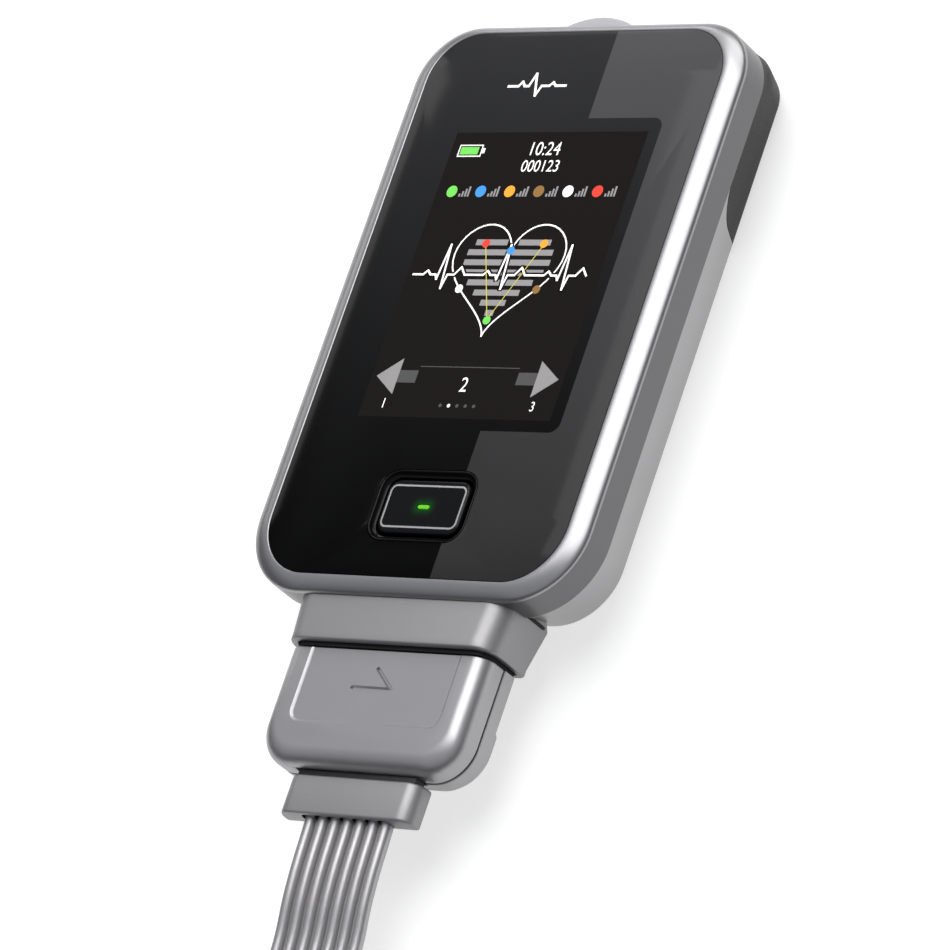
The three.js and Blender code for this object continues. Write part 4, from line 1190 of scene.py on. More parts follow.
    def front_shell(self) -> None:
        """Makes the rim and side wall with the slot of the event button."""
        s = self.sizes
        crease, plate = self.rim(0.0), self.plate(0.0)
        low = s.shell_top_z + self.seam_rise
        rings = [
            level(self.rim(s.wall), low), level(self.rim(self.seam_round), low),
            level(crease, low + self.seam_round),
        ]

        def dome(share: float) -> tuple[Points, float]:
            """Draws a line of the domed rim, from 0 at the glass to 1 outside, and gives its height."""
            drawn = [
                (px + (cx - px) * share, py + (cy - py) * share) for (px, py), (cx, cy) in zip(plate, crease)
            ]
            return drawn, s.thickness - s.rim_drop * share * share

        shoulder, shoulder_z = dome(self.dome_foot)
        low_z, corner_z = s.thickness - s.rim_drop - self.wall_drop, s.thickness - s.rim_drop
        for step in range(6):
            t = step / 5
            first, second, third = (1 - t) ** 2, 2 * t * (1 - t), t * t
            ring = [
                ((first + second) * cx + third * sx, (first + second) * cy + third * sy)
                for (cx, cy), (sx, sy) in zip(crease, shoulder)
            ]
            rings.append(level(ring, first * low_z + second * corner_z + third * shoulder_z))
        for step in range(1, 11):
            ring, z = dome(self.dome_foot - (self.dome_foot - self.dome_top) * step / 10)
            rings.append(level(ring, z))
        for cosine, sine in quarter(4)[1:]:
            inset = s.lip * sine - s.lip + self.glass_fit
            rings.append(level(self.plate(inset), s.thickness - s.lip * (1 - cosine)))
        ledge = s.thickness - self.ledge_drop
        rings += [
            level(self.plate(self.glass_fit), ledge), level(self.plate(self.ledge_reach), ledge),
            level(self.plate(self.ledge_reach), ledge - self.ledge_thickness),
            level(self.rim(s.wall), ledge - self.ledge_foot),
        ]
        shell = Solid.loft("case_front", rings, closed=True)
        slot = pad(*self.event_slot, (0.0, (s.seam_z + s.thickness - s.rim_drop) / 2))
        shell.cut(Solid.prism("slot", slot, s.top_y - 4, s.top_y + 1, Axis.Y))
        shell.cut(self.passage())
        piece = shell.dress(RIM_SILVER, Body.RECORDER, "front_shell")
        # Painted shade: the upright wall below the rim takes the darker copy of the silver.
        piece.data.materials.append(SHADED_WALL_SILVER.material())
        for face in piece.data.polygons:
            if face.center.z / MM < low_z and abs(face.normal.z) < 0.3:
                face.material_index = 1

    def back_shell(self) -> None:
        """Makes the back shell with its battery bay, screw recesses and step under the cover."""
        s, c = self.sizes, self.cover
        top, step = s.shell_top_z, c.wall + s.gap
        shell = self.back("case_back", 0.0, top).cut(self.cover_region(s.fit))
        shell.join(self.back("step", step, top - 0.01))
        hollow = self.back("hollow", s.wall + s.gap, top + 1)
        y, z = CELL_MIDDLE
        radius = c.cell_diameter / 2 + c.cell_gap
        outer = radius + c.cradle_wall
        low, high = self.cradle_low, self.cradle_high
        shell.cut(hollow)
        shell.cut(Solid.block("bay", (-s.half, y - radius, -1), (s.half, s.top_y + 1, s.seam_z + 1)))
        cradle = Solid.prism("cradle", circle(outer, y, z), low, high, Axis.X)
        cradle.join(Solid.block("foot", (low, y - outer, 0), (high, y + outer, z)))
        bound = self.back("bound", step, top - 0.02)
        upper = self.rim(s.wall + s.gap)
        bound.join(Solid.prism("upper", upper, s.seam_z - 1, s.thickness - self.cradle_drop))
        shell.join(cradle.keep(bound))
        low, high = low + c.cradle_wall, high - c.cradle_wall
        pocket = Solid.prism("pocket", circle(radius, y, z), low, high, Axis.X)
        pocket.join(Solid.block("mouth", (low, y - radius, -1), (high, y + radius, z)))
        shell.cut(pocket)
        shell.cut(self.passage())
        groove = self.collar_section(self.collar_groove)
        shell.cut(Solid.prism("groove", groove, s.bottom_y - 1, s.bottom_y + self.groove_depth, Axis.Y))
        for x, y in SCREWS:
            shell.cut(Solid.turned("recess", self.recess, Vector((x, y, 0)), UP))
        shell.dress(SILVER, Body.RECORDER, "back_shell")

    def battery_cover(self) -> None:
        """Makes the black cover with thumb grooves across its back."""
        s, c = self.sizes, self.cover
        shell = self.fuller_back("cover", 0.0, s.shell_top_z).keep(self.cover_region(0.0))
        shell.cut(self.fuller_back("inside", c.wall, s.shell_top_z + 1))
        start = s.top_y - c.length + self.grip_start
        grooves = row_tree().grow(
            "thumb_grooves", COVER_BLACK, Count=self.grip_count, Start=(0.0, start * MM, 0.0),
            Step=(0.0, self.grip_pitch * MM, 0.0), Bar=tuple(side * MM for side in self.grip_bar),
        )
        shell.cut(Solid(grooves).soften(0.25, 2))
        shell.dress(COVER_BLACK, Body.COVER, "battery_cover")

    def front_glass(self) -> None:
        """Makes the two-tone front glass."""
        s, gap = self.sizes, self.glass_gap
        length = s.length - s.rim_bottom - s.rim_top
        middle = s.bottom_y + s.rim_bottom + length / 2
        piece = plate_tree().grow(
            "front_glass", COVER_BLACK,
            Width=(s.width - 2 * s.rim_side - 2 * gap) * MM, Length=(length - 2 * gap) * MM,
            Middle=(0.0, middle * MM, 0.0), Top_Corner=(s.plate_top_corner - gap) * MM,
            Bottom_Corner=(s.plate_bottom_corner - gap) * MM, Hole_Width=self.hole_width * MM,
            Hole_Length=self.hole_length * MM, Hole_Corner=self.hole_corner * MM,
            Hole_Middle=(0.0, s.button_y * MM, 0.0), Thickness=self.glass_thickness * MM,
            Low=(0.0, 0.0, (s.thickness - self.glass_thickness) * MM),
        )
        Solid(piece).soften(0.1, 2, 60).dress(GlassToneAndPaintedReflection().material(), Body.RECORDER, "front_plate")


@dataclass(frozen=True)
class Hardware:
    """Screws, the cell with its contacts and the pins of the socket."""

    screw: Line = (
        (0.0, 1.3), (1.5, 1.2), (1.9, 1.45), (1.9, 2.6), (1.0, 2.62), (1.0, 14.6), (0.6, 15.2), (0.0, 15.2),
    )
    cross: Point = (0.45, 2.3)
    cross_z: float = 2.1
    cell_low: float = -23.85
    cell_profile: Line = (
        (0.0, 0.25), (5.4, 0.25), (5.7, 0.0), (6.5, 0.0), (7.0, 0.35), (7.1, 0.7), (7.1, 34.0), (7.1, 48.3),
        (6.95, 48.8), (6.4, 49.0), (5.8, 48.9), (5.4, 48.6), (2.9, 48.7), (2.75, 49.1), (2.75, 50.1),
        (2.45, 50.4), (0.0, 50.4),
    )
    band_start: float = 34.0
    can_radius: float = 5.75
    can_low: float = 0.5
    can_high: float = 48.6
    spring_low: float = -27.05
    spring_length: float = 2.6
    spring_turns: int = 3
    spring_wide: float = 3.5
    spring_narrow: float = 2.0
    wire: float = 0.3
    pin_count: int = 10
    pin_x: float = -12.6
    pin_pitch: float = 2.8
    pin_side: float = 0.7
    holder_width: float = 26.6
    holder_height: float = 1.4
    holder_depth: float = 0.8

    def case_screws(self) -> None:
        """Makes the four cross-slotted screws in the back."""
        for index, (x, y) in enumerate(SCREWS):
            screw = Solid.turned(f"screw_{index + 1}", self.screw, Vector((x, y, 0)), UP)
            for width, length in (self.cross, self.cross[::-1]):
                low = (x - width / 2, y - length / 2, 0)
                screw.cut(Solid.block("slot", low, (x + width / 2, y + length / 2, self.cross_z)))
            screw.dress(STEEL, Body.RECORDER, f"case_screw_{index + 1}")

    def battery_cell(self) -> None:
        """Makes the cell with its jacket, band, crimped edge and nub."""
        y, z = CELL_MIDDLE
        origin = Vector((self.cell_low, y, z))
        piece = Solid.turned("cell", self.cell_profile, origin, Vector((1, 0, 0)), 72).dress(
            JACKET, Body.RECORDER, "battery_cell"
        )
        piece.data.materials.append(COPPER.material())
        piece.data.materials.append(STEEL.material())
        for face in piece.data.polygons:
            along = face.center.x / MM - self.cell_low
            off = math.hypot(face.center.y / MM - y, face.center.z / MM - z)
            if off < self.can_radius or along < self.can_low or along > self.can_high:
                face.material_index = 2
            elif along > self.band_start:
                face.material_index = 1

    def battery_spring(self) -> None:
        """Makes the conical contact spring."""
        y, z = CELL_MIDDLE
        points = []
        for step in range(97):
            share = step / 96
            angle = 2 * math.pi * self.spring_turns * share
            radius = self.spring_wide + (self.spring_narrow - self.spring_wide) * share
            x = self.spring_low + self.spring_length * share
            points.append(Vector((x, y + radius * math.cos(angle), z + radius * math.sin(angle))))
        line = curve_of("spring_line", points)
        spring = tube_tree().grow("contact_spring", STEEL, start=line, Radius=self.wire * MM, Sides=10)
        dress(spring, STEEL, Body.RECORDER, "battery_spring", smooth=60)

    def socket_pins(self) -> None:
        """Makes the row of contact pins behind the collar, with the bar that holds them."""
        low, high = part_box("socket_pins")
        middle_y, middle_z = (low.y + high.y) / 2, (low.z + high.z) / 2
        side, depth = self.pin_side * MM, self.holder_depth
        pins = row_tree().grow(
            "contact_pins", GOLD, Count=self.pin_count,
            Start=(self.pin_x * MM, middle_y - depth / 2 * MM, middle_z),
            Step=(self.pin_pitch * MM, 0.0, 0.0), Bar=(side, high.y - low.y - depth * MM, side),
        )
        Solid(pins).soften(0.15, 2).dress(GOLD, Body.RECORDER, "socket_pins")
        section = pad(self.holder_width, self.holder_height, 0.3, (0.0, middle_z / MM))
        bar = Solid.prism("pin_holder", section, high.y / MM - depth, high.y / MM, Axis.Y)
        bar.dress(MOULDED, Body.RECORDER)


def curve_of(name: str, points: Sequence[Vector]) -> bpy.types.Curve:
    """Makes a poly curve through points.

    Args:
        name: the curve's name.
        points: its points in millimetres.

    Returns:
        The curve.
    """
    curve = bpy.data.curves.new(name, "CURVE")
    curve.dimensions = "3D"
    spline = curve.splines.new("POLY")
    spline.points.add(len(points) - 1)
    for slot, point in zip(spline.points, points):
        slot.co = (*(point * MM), 1.0)
    return curve


@dataclass(frozen=True)
class Socket:
    """The collar at the recorder's lower end, with its seal."""

    casing: Casing
    depth: float = 3.5
    flare_start: float = 0.6
    flare_end: float = 1.2
    inner_round: float = 0.2
    seal_inner: float = 0.1
    seal_outer: float = 0.75
    seal_round: float = 0.2

    def ring(self, grow: float, y: float) -> Ring:
        """Puts the collar's outline, grown by a length, at a place along Y."""
        return level(self.casing.collar_section(grow), y, Axis.Y)

    def collar(self) -> None:
        """Makes the sleeve with its rounded lip and the seal round it."""
        s, c = self.casing.sizes, self.casing.collar
        back = s.bottom_y + self.depth
        top = s.thickness - c.top_drop
        start = s.bottom_y + self.flare_start
        rings = [self.ring(0.0, back)]
        for step in range(9):
            share = 1 - step / 8
            flare = outline(
                c.width / 2 + c.flare_side * share, top - c.depth - c.flare_back * share, top,
                c.back_corner, c.front_corner, 10,
            )
            rings.append(level(flare, start - (start - s.lip_y - self.flare_end) * (1 - share), Axis.Y))
        for cosine, sine in quarter(4):
            rings.append(self.ring(-c.lip_round * (1 - cosine), s.lip_y + c.lip_round * (1 - sine)))
        for cosine, sine in quarter(4):
            grow = -c.wall + self.inner_round * (1 - sine)
            rings.append(self.ring(grow, s.lip_y + self.inner_round * (1 - cosine)))
        rings.append(self.ring(-c.wall, back))
        Solid.loft("collar_sleeve", rings, closed=True).dress(SOFT_SATIN, Body.RECORDER, "socket_collar")
        low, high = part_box("collar_seal")
        inner, outer = self.seal_inner, self.seal_outer
        levels = (
            (inner, low.y), (outer - self.seal_round, low.y), (outer, low.y + self.seal_round * MM),
            (outer, high.y), (inner, high.y),
        )
        gasket = Solid.loft("collar_gasket", [self.ring(grow, y / MM) for grow, y in levels], closed=True)
        gasket.dress(SEAL_BLACK, Body.RECORDER, "collar_seal")


# Buttons


@dataclass(frozen=True)
class KeyPrint:
    """The front key's gloss black with a fine printed line and the lamp's light on it."""

    line_box: Point = (7.1, 3.42)
    line_corner: float = 1.0
    line_half: float = 0.1
    line_fade: float = 12000.0
    line_color: Triple = (0.42, 0.42, 0.42)
    lamp_box: Point = (1.1, 0.3)
    halo_reach: float = 2.0
    halo_power: float = 3.0
    halo_share: float = 0.25
    halo_color: Triple = (0.0, 0.3, 0.02)

    def material(self) -> Material:
        """Makes the material.

        Returns:
            The material.
        """
        y, shader = CASE.button_y, KEY_BLACK.shader()
        shader.material.name = "key_print"
        half_x, half_y = self.line_box
        box = shader.rounded_box((-half_x, y - half_y), (half_x, y + half_y), self.line_corner)
        off = shader.math("SUBTRACT", shader.math("ABSOLUTE", box), self.line_half * MM)
        fade = shader.math("MULTIPLY", off, self.line_fade, clamp=True)
        line = shader.math("SUBTRACT", 1.0, fade, clamp=True)
        base = shader.principled.inputs["Base Color"].links[0].from_socket
        half_x, half_y = self.lamp_box
        lamp = shader.rounded_box((-half_x, y - half_y), (half_x, y + half_y), half_y)
        away = shader.math("MULTIPLY", lamp, 1.0 / (self.halo_reach * MM), clamp=True)
        near = shader.math("SUBTRACT", 1.0, away, clamp=True)
        halo = shader.math("MULTIPLY", shader.math("POWER", near, self.halo_power), self.halo_share)
        shader.feed("Base Color", shader.mix(line, shader.mix(halo, base, self.halo_color), self.line_color))
        return shader.material


@dataclass(frozen=True)
class Buttons:
    """The front button with its ring and lamp, and the event button in the top end.

    A section's rows give the width, the length, the corner radius and the rise of each step.
    """

    ring: tuple[Row, ...] = (
        (18.4, 11.8, 3.2, -1.2), (18.4, 11.8, 3.2, -0.05), (18.25, 11.65, 3.12, 0.03),
        (17.95, 11.35, 3.0, 0.03), (17.7, 11.1, 2.85, -0.1), (17.4, 10.8, 2.7, -0.55),
        (16.5, 9.9, 2.3, -0.75), (16.3, 9.7, 2.2, -2.5), (16.9, 10.3, 2.4, -2.5), (16.9, 10.3, 2.4, -1.2),
    )
    key: tuple[Row, ...] = (
        (15.6, 9.0, 2.0, -2.8), (15.6, 9.0, 2.0, -0.5), (15.4, 8.8, 1.95, -0.22),
        (15.0, 8.4, 1.8, -0.08), (14.6, 8.0, 1.7, -0.03), (13.0, 6.4, 1.0, 0.0),
    )
    key_drop: float = 0.3
    slot: Triple = (2.5, 0.9, 0.4)
    slot_depth: float = 1.0
    lamp: Triple = (2.15, 0.58, 0.28)
    lamp_drop: float = 0.05
    event_arc: float = 13.8
    event_half: float = 8.0
    event_depth: float = 3.0
    event_drop: float = 0.6
    event_half_height: float = 1.7

    def stack(self, section: Sequence[Row], z: float) -> list[Ring]:
        """Draws a section's rings about the key's middle, with their rises counted from a height."""
        middle = (0.0, CASE.button_y)
        return [level(pad(w, h, corner, middle), z + rise) for w, h, corner, rise in section]

    def front_button(self) -> None:
        """Makes the sunken ring, the printed key and the lamp."""
        middle = (0.0, CASE.button_y)
        ring = Solid.loft("key_ring", self.stack(self.ring, CASE.thickness), closed=True)
        ring.dress(KEY_BLACK, Body.RECORDER, "button_bezel", smooth=50)
        top = CASE.thickness - self.key_drop
        low = top - self.slot_depth
        key = Solid.loft("key_cap", self.stack(self.key, top))
        key.cut(Solid.prism("lamp_slot", pad(*self.slot, middle), low, top + 1))
        key.dress(KeyPrint().material(), Body.FRONT_BUTTON, "front_button", smooth=40)
        lamp = Solid.prism("key_lamp", pad(*self.lamp, middle), low, top - self.lamp_drop)
        lamp.dress(LAMP, Body.FRONT_BUTTON, "button_light_bar")

    def event_button(self) -> None:
        """Makes the arched event button."""
        s, radius, half = CASE, self.event_arc, self.event_half
        back = s.top_y - self.event_depth
        middle_y = s.top_y + s.event_reach - self.event_drop - radius
        reach = math.asin(half / radius)
        points = []
        for step in range(25):
            angle = math.pi / 2 - reach + 2 * reach * step / 24
            points.append((radius * math.cos(angle), middle_y + radius * math.sin(angle)))
        points += [(-half, back), (half, back)]
        z = (s.thickness - s.rim_drop + s.seam_z) / 2
        bar = Solid.prism("event_key", points, z - self.event_half_height, z + self.event_half_height)
        bar.soften(0.45, 4, 50).dress(PALE_KEY, Body.EVENT_BUTTON, "event_button", smooth=40)


# Screen


class Ink(Enum):
    """The screen's colours, each with how strongly it glows."""

    GROUND = ((0.0125, 0.0098, 0.0095), 0.0)
    WHITE = ((0.8, 0.8, 0.78), 0.75)
    GREY = ((0.3, 0.29, 0.29), 0.3)
    DIM = ((0.1, 0.1, 0.1), 0.12)
    RED = ((0.75, 0.06, 0.04), 0.5)
    BROWN = ((0.27, 0.15, 0.05), 0.4)
    ORANGE = ((0.85, 0.33, 0.04), 0.55)
    BLUE = ((0.06, 0.27, 0.68), 0.5)
    GREEN = ((0.16, 0.6, 0.1), 0.5)
    YELLOW = ((0.55, 0.5, 0.08), 0.45)

    def material(self) -> Material:
        """Makes the colour's material: a faint pixel grid under gloss.

        Returns:
            The material.
        """
        color, glow = self.value
        shader = Shader("screen_" + self.name.lower(), 0.1, 0.0)
        x, y, _ = shader.axes()
        turn = 2 * math.pi / (PIXEL * MM)
        wave = [shader.math("SINE", shader.math("MULTIPLY", value, turn)) for value in (x, y)]
        grid = shader.math("MULTIPLY_ADD", shader.math("MAXIMUM", *wave), GRID, 1.0 - GRID)
        shader.feed("Base Color", shader.mix(grid, (0.0, 0.0, 0.0), color))
        if glow:
            shader.set("Emission Color", (*color, 1.0))
            shader.set("Emission Strength", glow)
        shader.set("Specular IOR Level", GlassToneAndPaintedReflection.specular)
        return shader.material


@dataclass
class Sketch:
    """Flat shapes in millimetres from the screen's middle, gathered in one piece.

    A shape on a higher layer lies over those on a lower one.
    """

    middle: Point
    height: float
    lift: float = 0.0006
    layer: int = 0
    vertices: Ring = field(default_factory=list)
    faces: list[list[int]] = field(default_factory=list)
    inks: list[Ink] = field(default_factory=list)

    def face(self, ink: Ink, points: Line) -> None:
        """Adds one flat face.

        Args:
            ink: its colour.
            points: its corners, anticlockwise.
        """
        start = len(self.vertices)
        z = self.height + self.lift * self.layer
        self.vertices += [Vector((x + self.middle[0], y + self.middle[1], z)) for x, y in points]
        self.faces.append(list(range(start, start + len(points))))
        self.inks.append(ink)

    def rect(self, ink: Ink, x: float, y: float, width: float, height: float) -> None:
        """Adds a rectangle about its middle."""
        w, h = width / 2, height / 2
        self.face(ink, [(x - w, y - h), (x + w, y - h), (x + w, y + h), (x - w, y + h)])

    def dot(self, ink: Ink, x: float, y: float, radius: float) -> None:
        """Adds a disc about its middle."""
        self.face(ink, circle(radius, x, y, 28))

    def line(self, ink: Ink, points: Line, width: float) -> None:
        """Adds a line as bars that overlap where it bends.

        Args:
            ink: its colour.
            points: the points that it runs through.
            width: its width.
        """
        for (ax, ay), (bx, by) in zip(points, points[1:]):
            length = math.hypot(bx - ax, by - ay) or 1.0
            nx, ny = -(by - ay) / length * width / 2, (bx - ax) / length * width / 2
            ex, ey = (bx - ax) / length * width * 0.3, (by - ay) / length * width * 0.3
            self.face(ink, [
                (ax - nx - ex, ay - ny - ey), (bx - nx + ex, by - ny + ey),
                (bx + nx + ex, by + ny + ey), (ax + nx - ex, ay + ny - ey),
            ])

    def digits(self, ink: Ink, text: str, x: float, y: float, height: float) -> None:
        """Adds plain numerals about a middle point.

        Args:
            ink: their colour.
            text: the numerals.
            x: the middle's X.
            y: the middle's Y.
            height: how high they stand.
        """
        curve = bpy.data.curves.new("digits", "FONT")
        curve.body = text
        curve.size = 1.0
        curve.fill_mode = "FRONT"
        carrier = placed("digits", curve)
        mesh = evaluated(carrier)
        xs = [vertex.co.x for vertex in mesh.vertices]
        ys = [vertex.co.y for vertex in mesh.vertices]
        scale = height / (max(ys) - min(ys))
        mid_x, mid_y = (max(xs) + min(xs)) / 2, (max(ys) + min(ys)) / 2
        for polygon in mesh.polygons:
            corners = [
                (x + (at.x - mid_x) * scale * DIGIT_WIDTH, y + (at.y - mid_y) * scale)
                for at in (mesh.vertices[index].co for index in polygon.vertices)
            ]
            if polygon.normal.z < 0:
                corners.reverse()
            self.face(ink, corners)
        bpy.data.objects.remove(carrier)

    def piece(self, name: str) -> None:
        """Makes the mesh, which rides on the recorder.

        Args:
            name: the piece's name.
        """
        mesh = bpy.data.meshes.new(name)
        mesh.from_pydata([tuple(vertex * MM) for vertex in self.vertices], [], self.faces)
        made = placed(name, mesh)
        inks = list(Ink)
        for ink in inks:
            mesh.materials.append(ink.material())
        for polygon, ink in zip(mesh.polygons, self.inks):
            polygon.material_index = inks.index(ink)
        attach(made, Body.RECORDER.value)


@dataclass(frozen=True)
class Screen:
    """What the display shows: plain numerals, level bars, a heart with a trace and two arrows."""

    width: float = 36.72
    height: float = 48.96
    print_lift: float = 0.004
    battery: Point = (-14.6, 21.3)
    levels: tuple[Ink, ...] = (Ink.GREEN, Ink.BLUE, Ink.ORANGE, Ink.BROWN, Ink.WHITE, Ink.RED)
    level_x: float = -15.4
    level_y: float = 14.2
    level_step: float = 5.6
    bar_x: float = 1.7
    bar_y: float = 13.3
    bar_step: float = 0.55
    bar_width: float = 0.34
    bar_least: float = 0.5
    bar_growth: float = 0.42
    band_count: int = 8
    band_y: float = -6.6
    band_step: float = 1.72
    heart_scale: float = 0.52
    ring_scale: float = 0.66
    beat: Line = (
        (0.0, 0.0), (2.0, 0.0), (2.7, 0.7), (3.4, 0.0), (4.4, 0.0), (4.8, -0.8), (5.5, 5.2), (6.2, -2.4),
        (6.7, 0.0), (8.0, 0.0), (9.0, 1.3), (10.0, 0.0), (11.6, 0.0),
    )
    beat_length: float = 11.6
    beat_start: Point = (-17.3, -0.2)
    beat_end: float = 17.4
    marks: tuple[tuple[Ink, float, float], ...] = (
        (Ink.RED, -5.2, 5.2), (Ink.BLUE, 0.0, 4.0), (Ink.ORANGE, 5.9, 5.2), (Ink.GREEN, 0.0, -7.9),
        (Ink.BROWN, 7.4, -2.6), (Ink.WHITE, -7.4, -2.6),
    )
    stem: Line = ((9.6, -18.7), (9.6, -16.6), (13.2, -16.6), (13.2, -18.7))
    head: Line = ((13.2, -14.6), (13.2, -20.7), (17.4, -17.65))
    pulse: Line = (
        (-5.6, 0.0), (-3.6, 0.0), (-3.0, 0.8), (-2.4, 0.0), (-1.6, 0.0), (-0.8, 2.2), (0.2, -1.7), (0.9, 0.0),
        (2.4, 0.0), (3.0, 0.6), (3.6, 0.0), (5.6, 0.0),
    )
    pulse_place: Point = (-6.0, 32.6)

    def picture(self) -> None:
        """Draws the screen in layers."""
        sketch = Sketch((0.0, CASE.screen_y), CASE.thickness + self.print_lift)
        sketch.rect(Ink.GROUND, 0, 0, self.width, self.height)
        sketch.layer += 1
        self.status(sketch)
        self.heart(sketch)
        self.traces(sketch)
        self.footer(sketch)
        sketch.piece("screen_picture")

    def status(self, sketch: Sketch) -> None:
        """Draws the clock, the counter, the battery level and the row of contact levels.

        Args:
            sketch: what it is drawn on.
        """
        sketch.digits(Ink.WHITE, "10:24", 0.0, 21.6, 2.3)
        sketch.digits(Ink.WHITE, "000123", 0.0, 18.6, 2.0)
        x, y = self.battery
        sketch.rect(Ink.WHITE, x, y, 4.6, 2.1)
        sketch.rect(Ink.WHITE, x + 2.6, y, 0.5, 0.9)
        sketch.layer += 1
        sketch.rect(Ink.GROUND, x, y, 4.2, 1.7)
        sketch.layer += 1
        sketch.rect(Ink.GREEN, x - 0.15, y, 3.5, 1.3)
        sketch.layer += 1
        for index, ink in enumerate(self.levels):
            left = self.level_x + self.level_step * index
            sketch.dot(ink, left, self.level_y, 1.0)
            for bar in range(4):
                high = self.bar_least + self.bar_growth * bar
                x = left + self.bar_x + self.bar_step * bar
                sketch.rect(Ink.GREY, x, self.bar_y + high / 2, self.bar_width, high)
        sketch.layer += 1

    def heart(self, sketch: Sketch) -> None:
        """Draws a heart of grey bands inside a thin white ring.

        Args:
            sketch: what it is drawn on.
        """

        def edge(scale: float) -> Points:
            """Draws a heart's outline at a scale."""
            angles = [2 * math.pi * step / 72 for step in range(72)]
            return [(scale * 16 * math.sin(t) ** 3, scale * (
                13 * math.cos(t) - 5 * math.cos(2 * t) - 2 * math.cos(3 * t) - math.cos(4 * t)
            ) + 0.6) for t in angles]

        for band in range(self.band_count):
            y = self.band_y + self.band_step * band
            low, high = y - 0.55, y + 0.45
            for left, right in self.spans(edge(self.heart_scale), y):
                sketch.face(Ink.GREY, [(left, low), (right, low), (right, high), (left, high)])
        sketch.layer += 1
        ring = edge(self.ring_scale)
        sketch.line(Ink.WHITE, ring + ring[:1], 0.26)
        sketch.layer += 1

    def spans(self, ring: Line, y: float) -> Points:
        """Finds the stretches of a height that lie inside a ring.

        Args:
            ring: the ring's points.
            y: the height.

        Returns:
            Pairs of where each stretch begins and ends.
        """
        crossings = []
        for (ax, ay), (bx, by) in zip(ring, list(ring[1:]) + list(ring[:1])):
            if (ay - y) * (by - y) < 0:
                crossings.append(ax + (bx - ax) * (y - ay) / (by - ay))
        crossings.sort()
        return list(zip(crossings[::2], crossings[1::2]))

    def traces(self, sketch: Sketch) -> None:
        """Draws a trace across the heart with coloured marks on it.

        Args:
            sketch: what it is drawn on.
        """
        left, low = self.beat_start
        points = [(left + self.beat_length * n + x, low + y) for n in range(3) for x, y in self.beat]
        points = [point for point in points if point[0] < self.beat_end]
        sketch.line(Ink.GROUND, points, 0.95)
        sketch.layer += 1
        sketch.line(Ink.WHITE, points, 0.34)
        sketch.layer += 1
        for start in ((-5.2, 5.0), (5.9, 5.0)):
            sketch.line(Ink.YELLOW, [start, (0.0, -7.8)], 0.16)
        sketch.layer += 1
        for ink, x, y in self.marks:
            sketch.dot(ink, x, y, 0.72)
        sketch.layer += 1

    def footer(self, sketch: Sketch) -> None:
        """Draws the two arrows, a rule and the page numbers.

        Args:
            sketch: what it is drawn on.
        """
        sketch.rect(Ink.DIM, 0, -15.9, 19.0, 0.14)
        for side in (-1, 1):
            for ink, shape in ((Ink.DIM, self.stem), (Ink.GREY, self.head)):
                points = [(side * x, y) for x, y in shape]
                twice = sum(ax * by - bx * ay for (ax, ay), (bx, by) in zip(points, points[1:] + points[:1]))
                sketch.face(ink, points if twice > 0 else points[::-1])
        sketch.layer += 1
        sketch.digits(Ink.WHITE, "2", 0.0, -18.8, 2.4)
        sketch.digits(Ink.WHITE, "1", -14.2, -22.2, 1.6)
        sketch.digits(Ink.WHITE, "3", 14.2, -22.2, 1.6)
        for index in range(5):
            sketch.dot(Ink.WHITE if index == 1 else Ink.DIM, -3.2 + 1.6 * index, -22.4, 0.3)

    def pulse_mark(self) -> None:
        """Prints a small pulse mark over the screen."""
        x, y = self.pulse_place
        sketch = Sketch((x, CASE.screen_y + y), CASE.thickness + self.print_lift)
        sketch.line(Ink.WHITE, self.pulse, 0.42)
        sketch.piece("pulse_mark")


# Cable


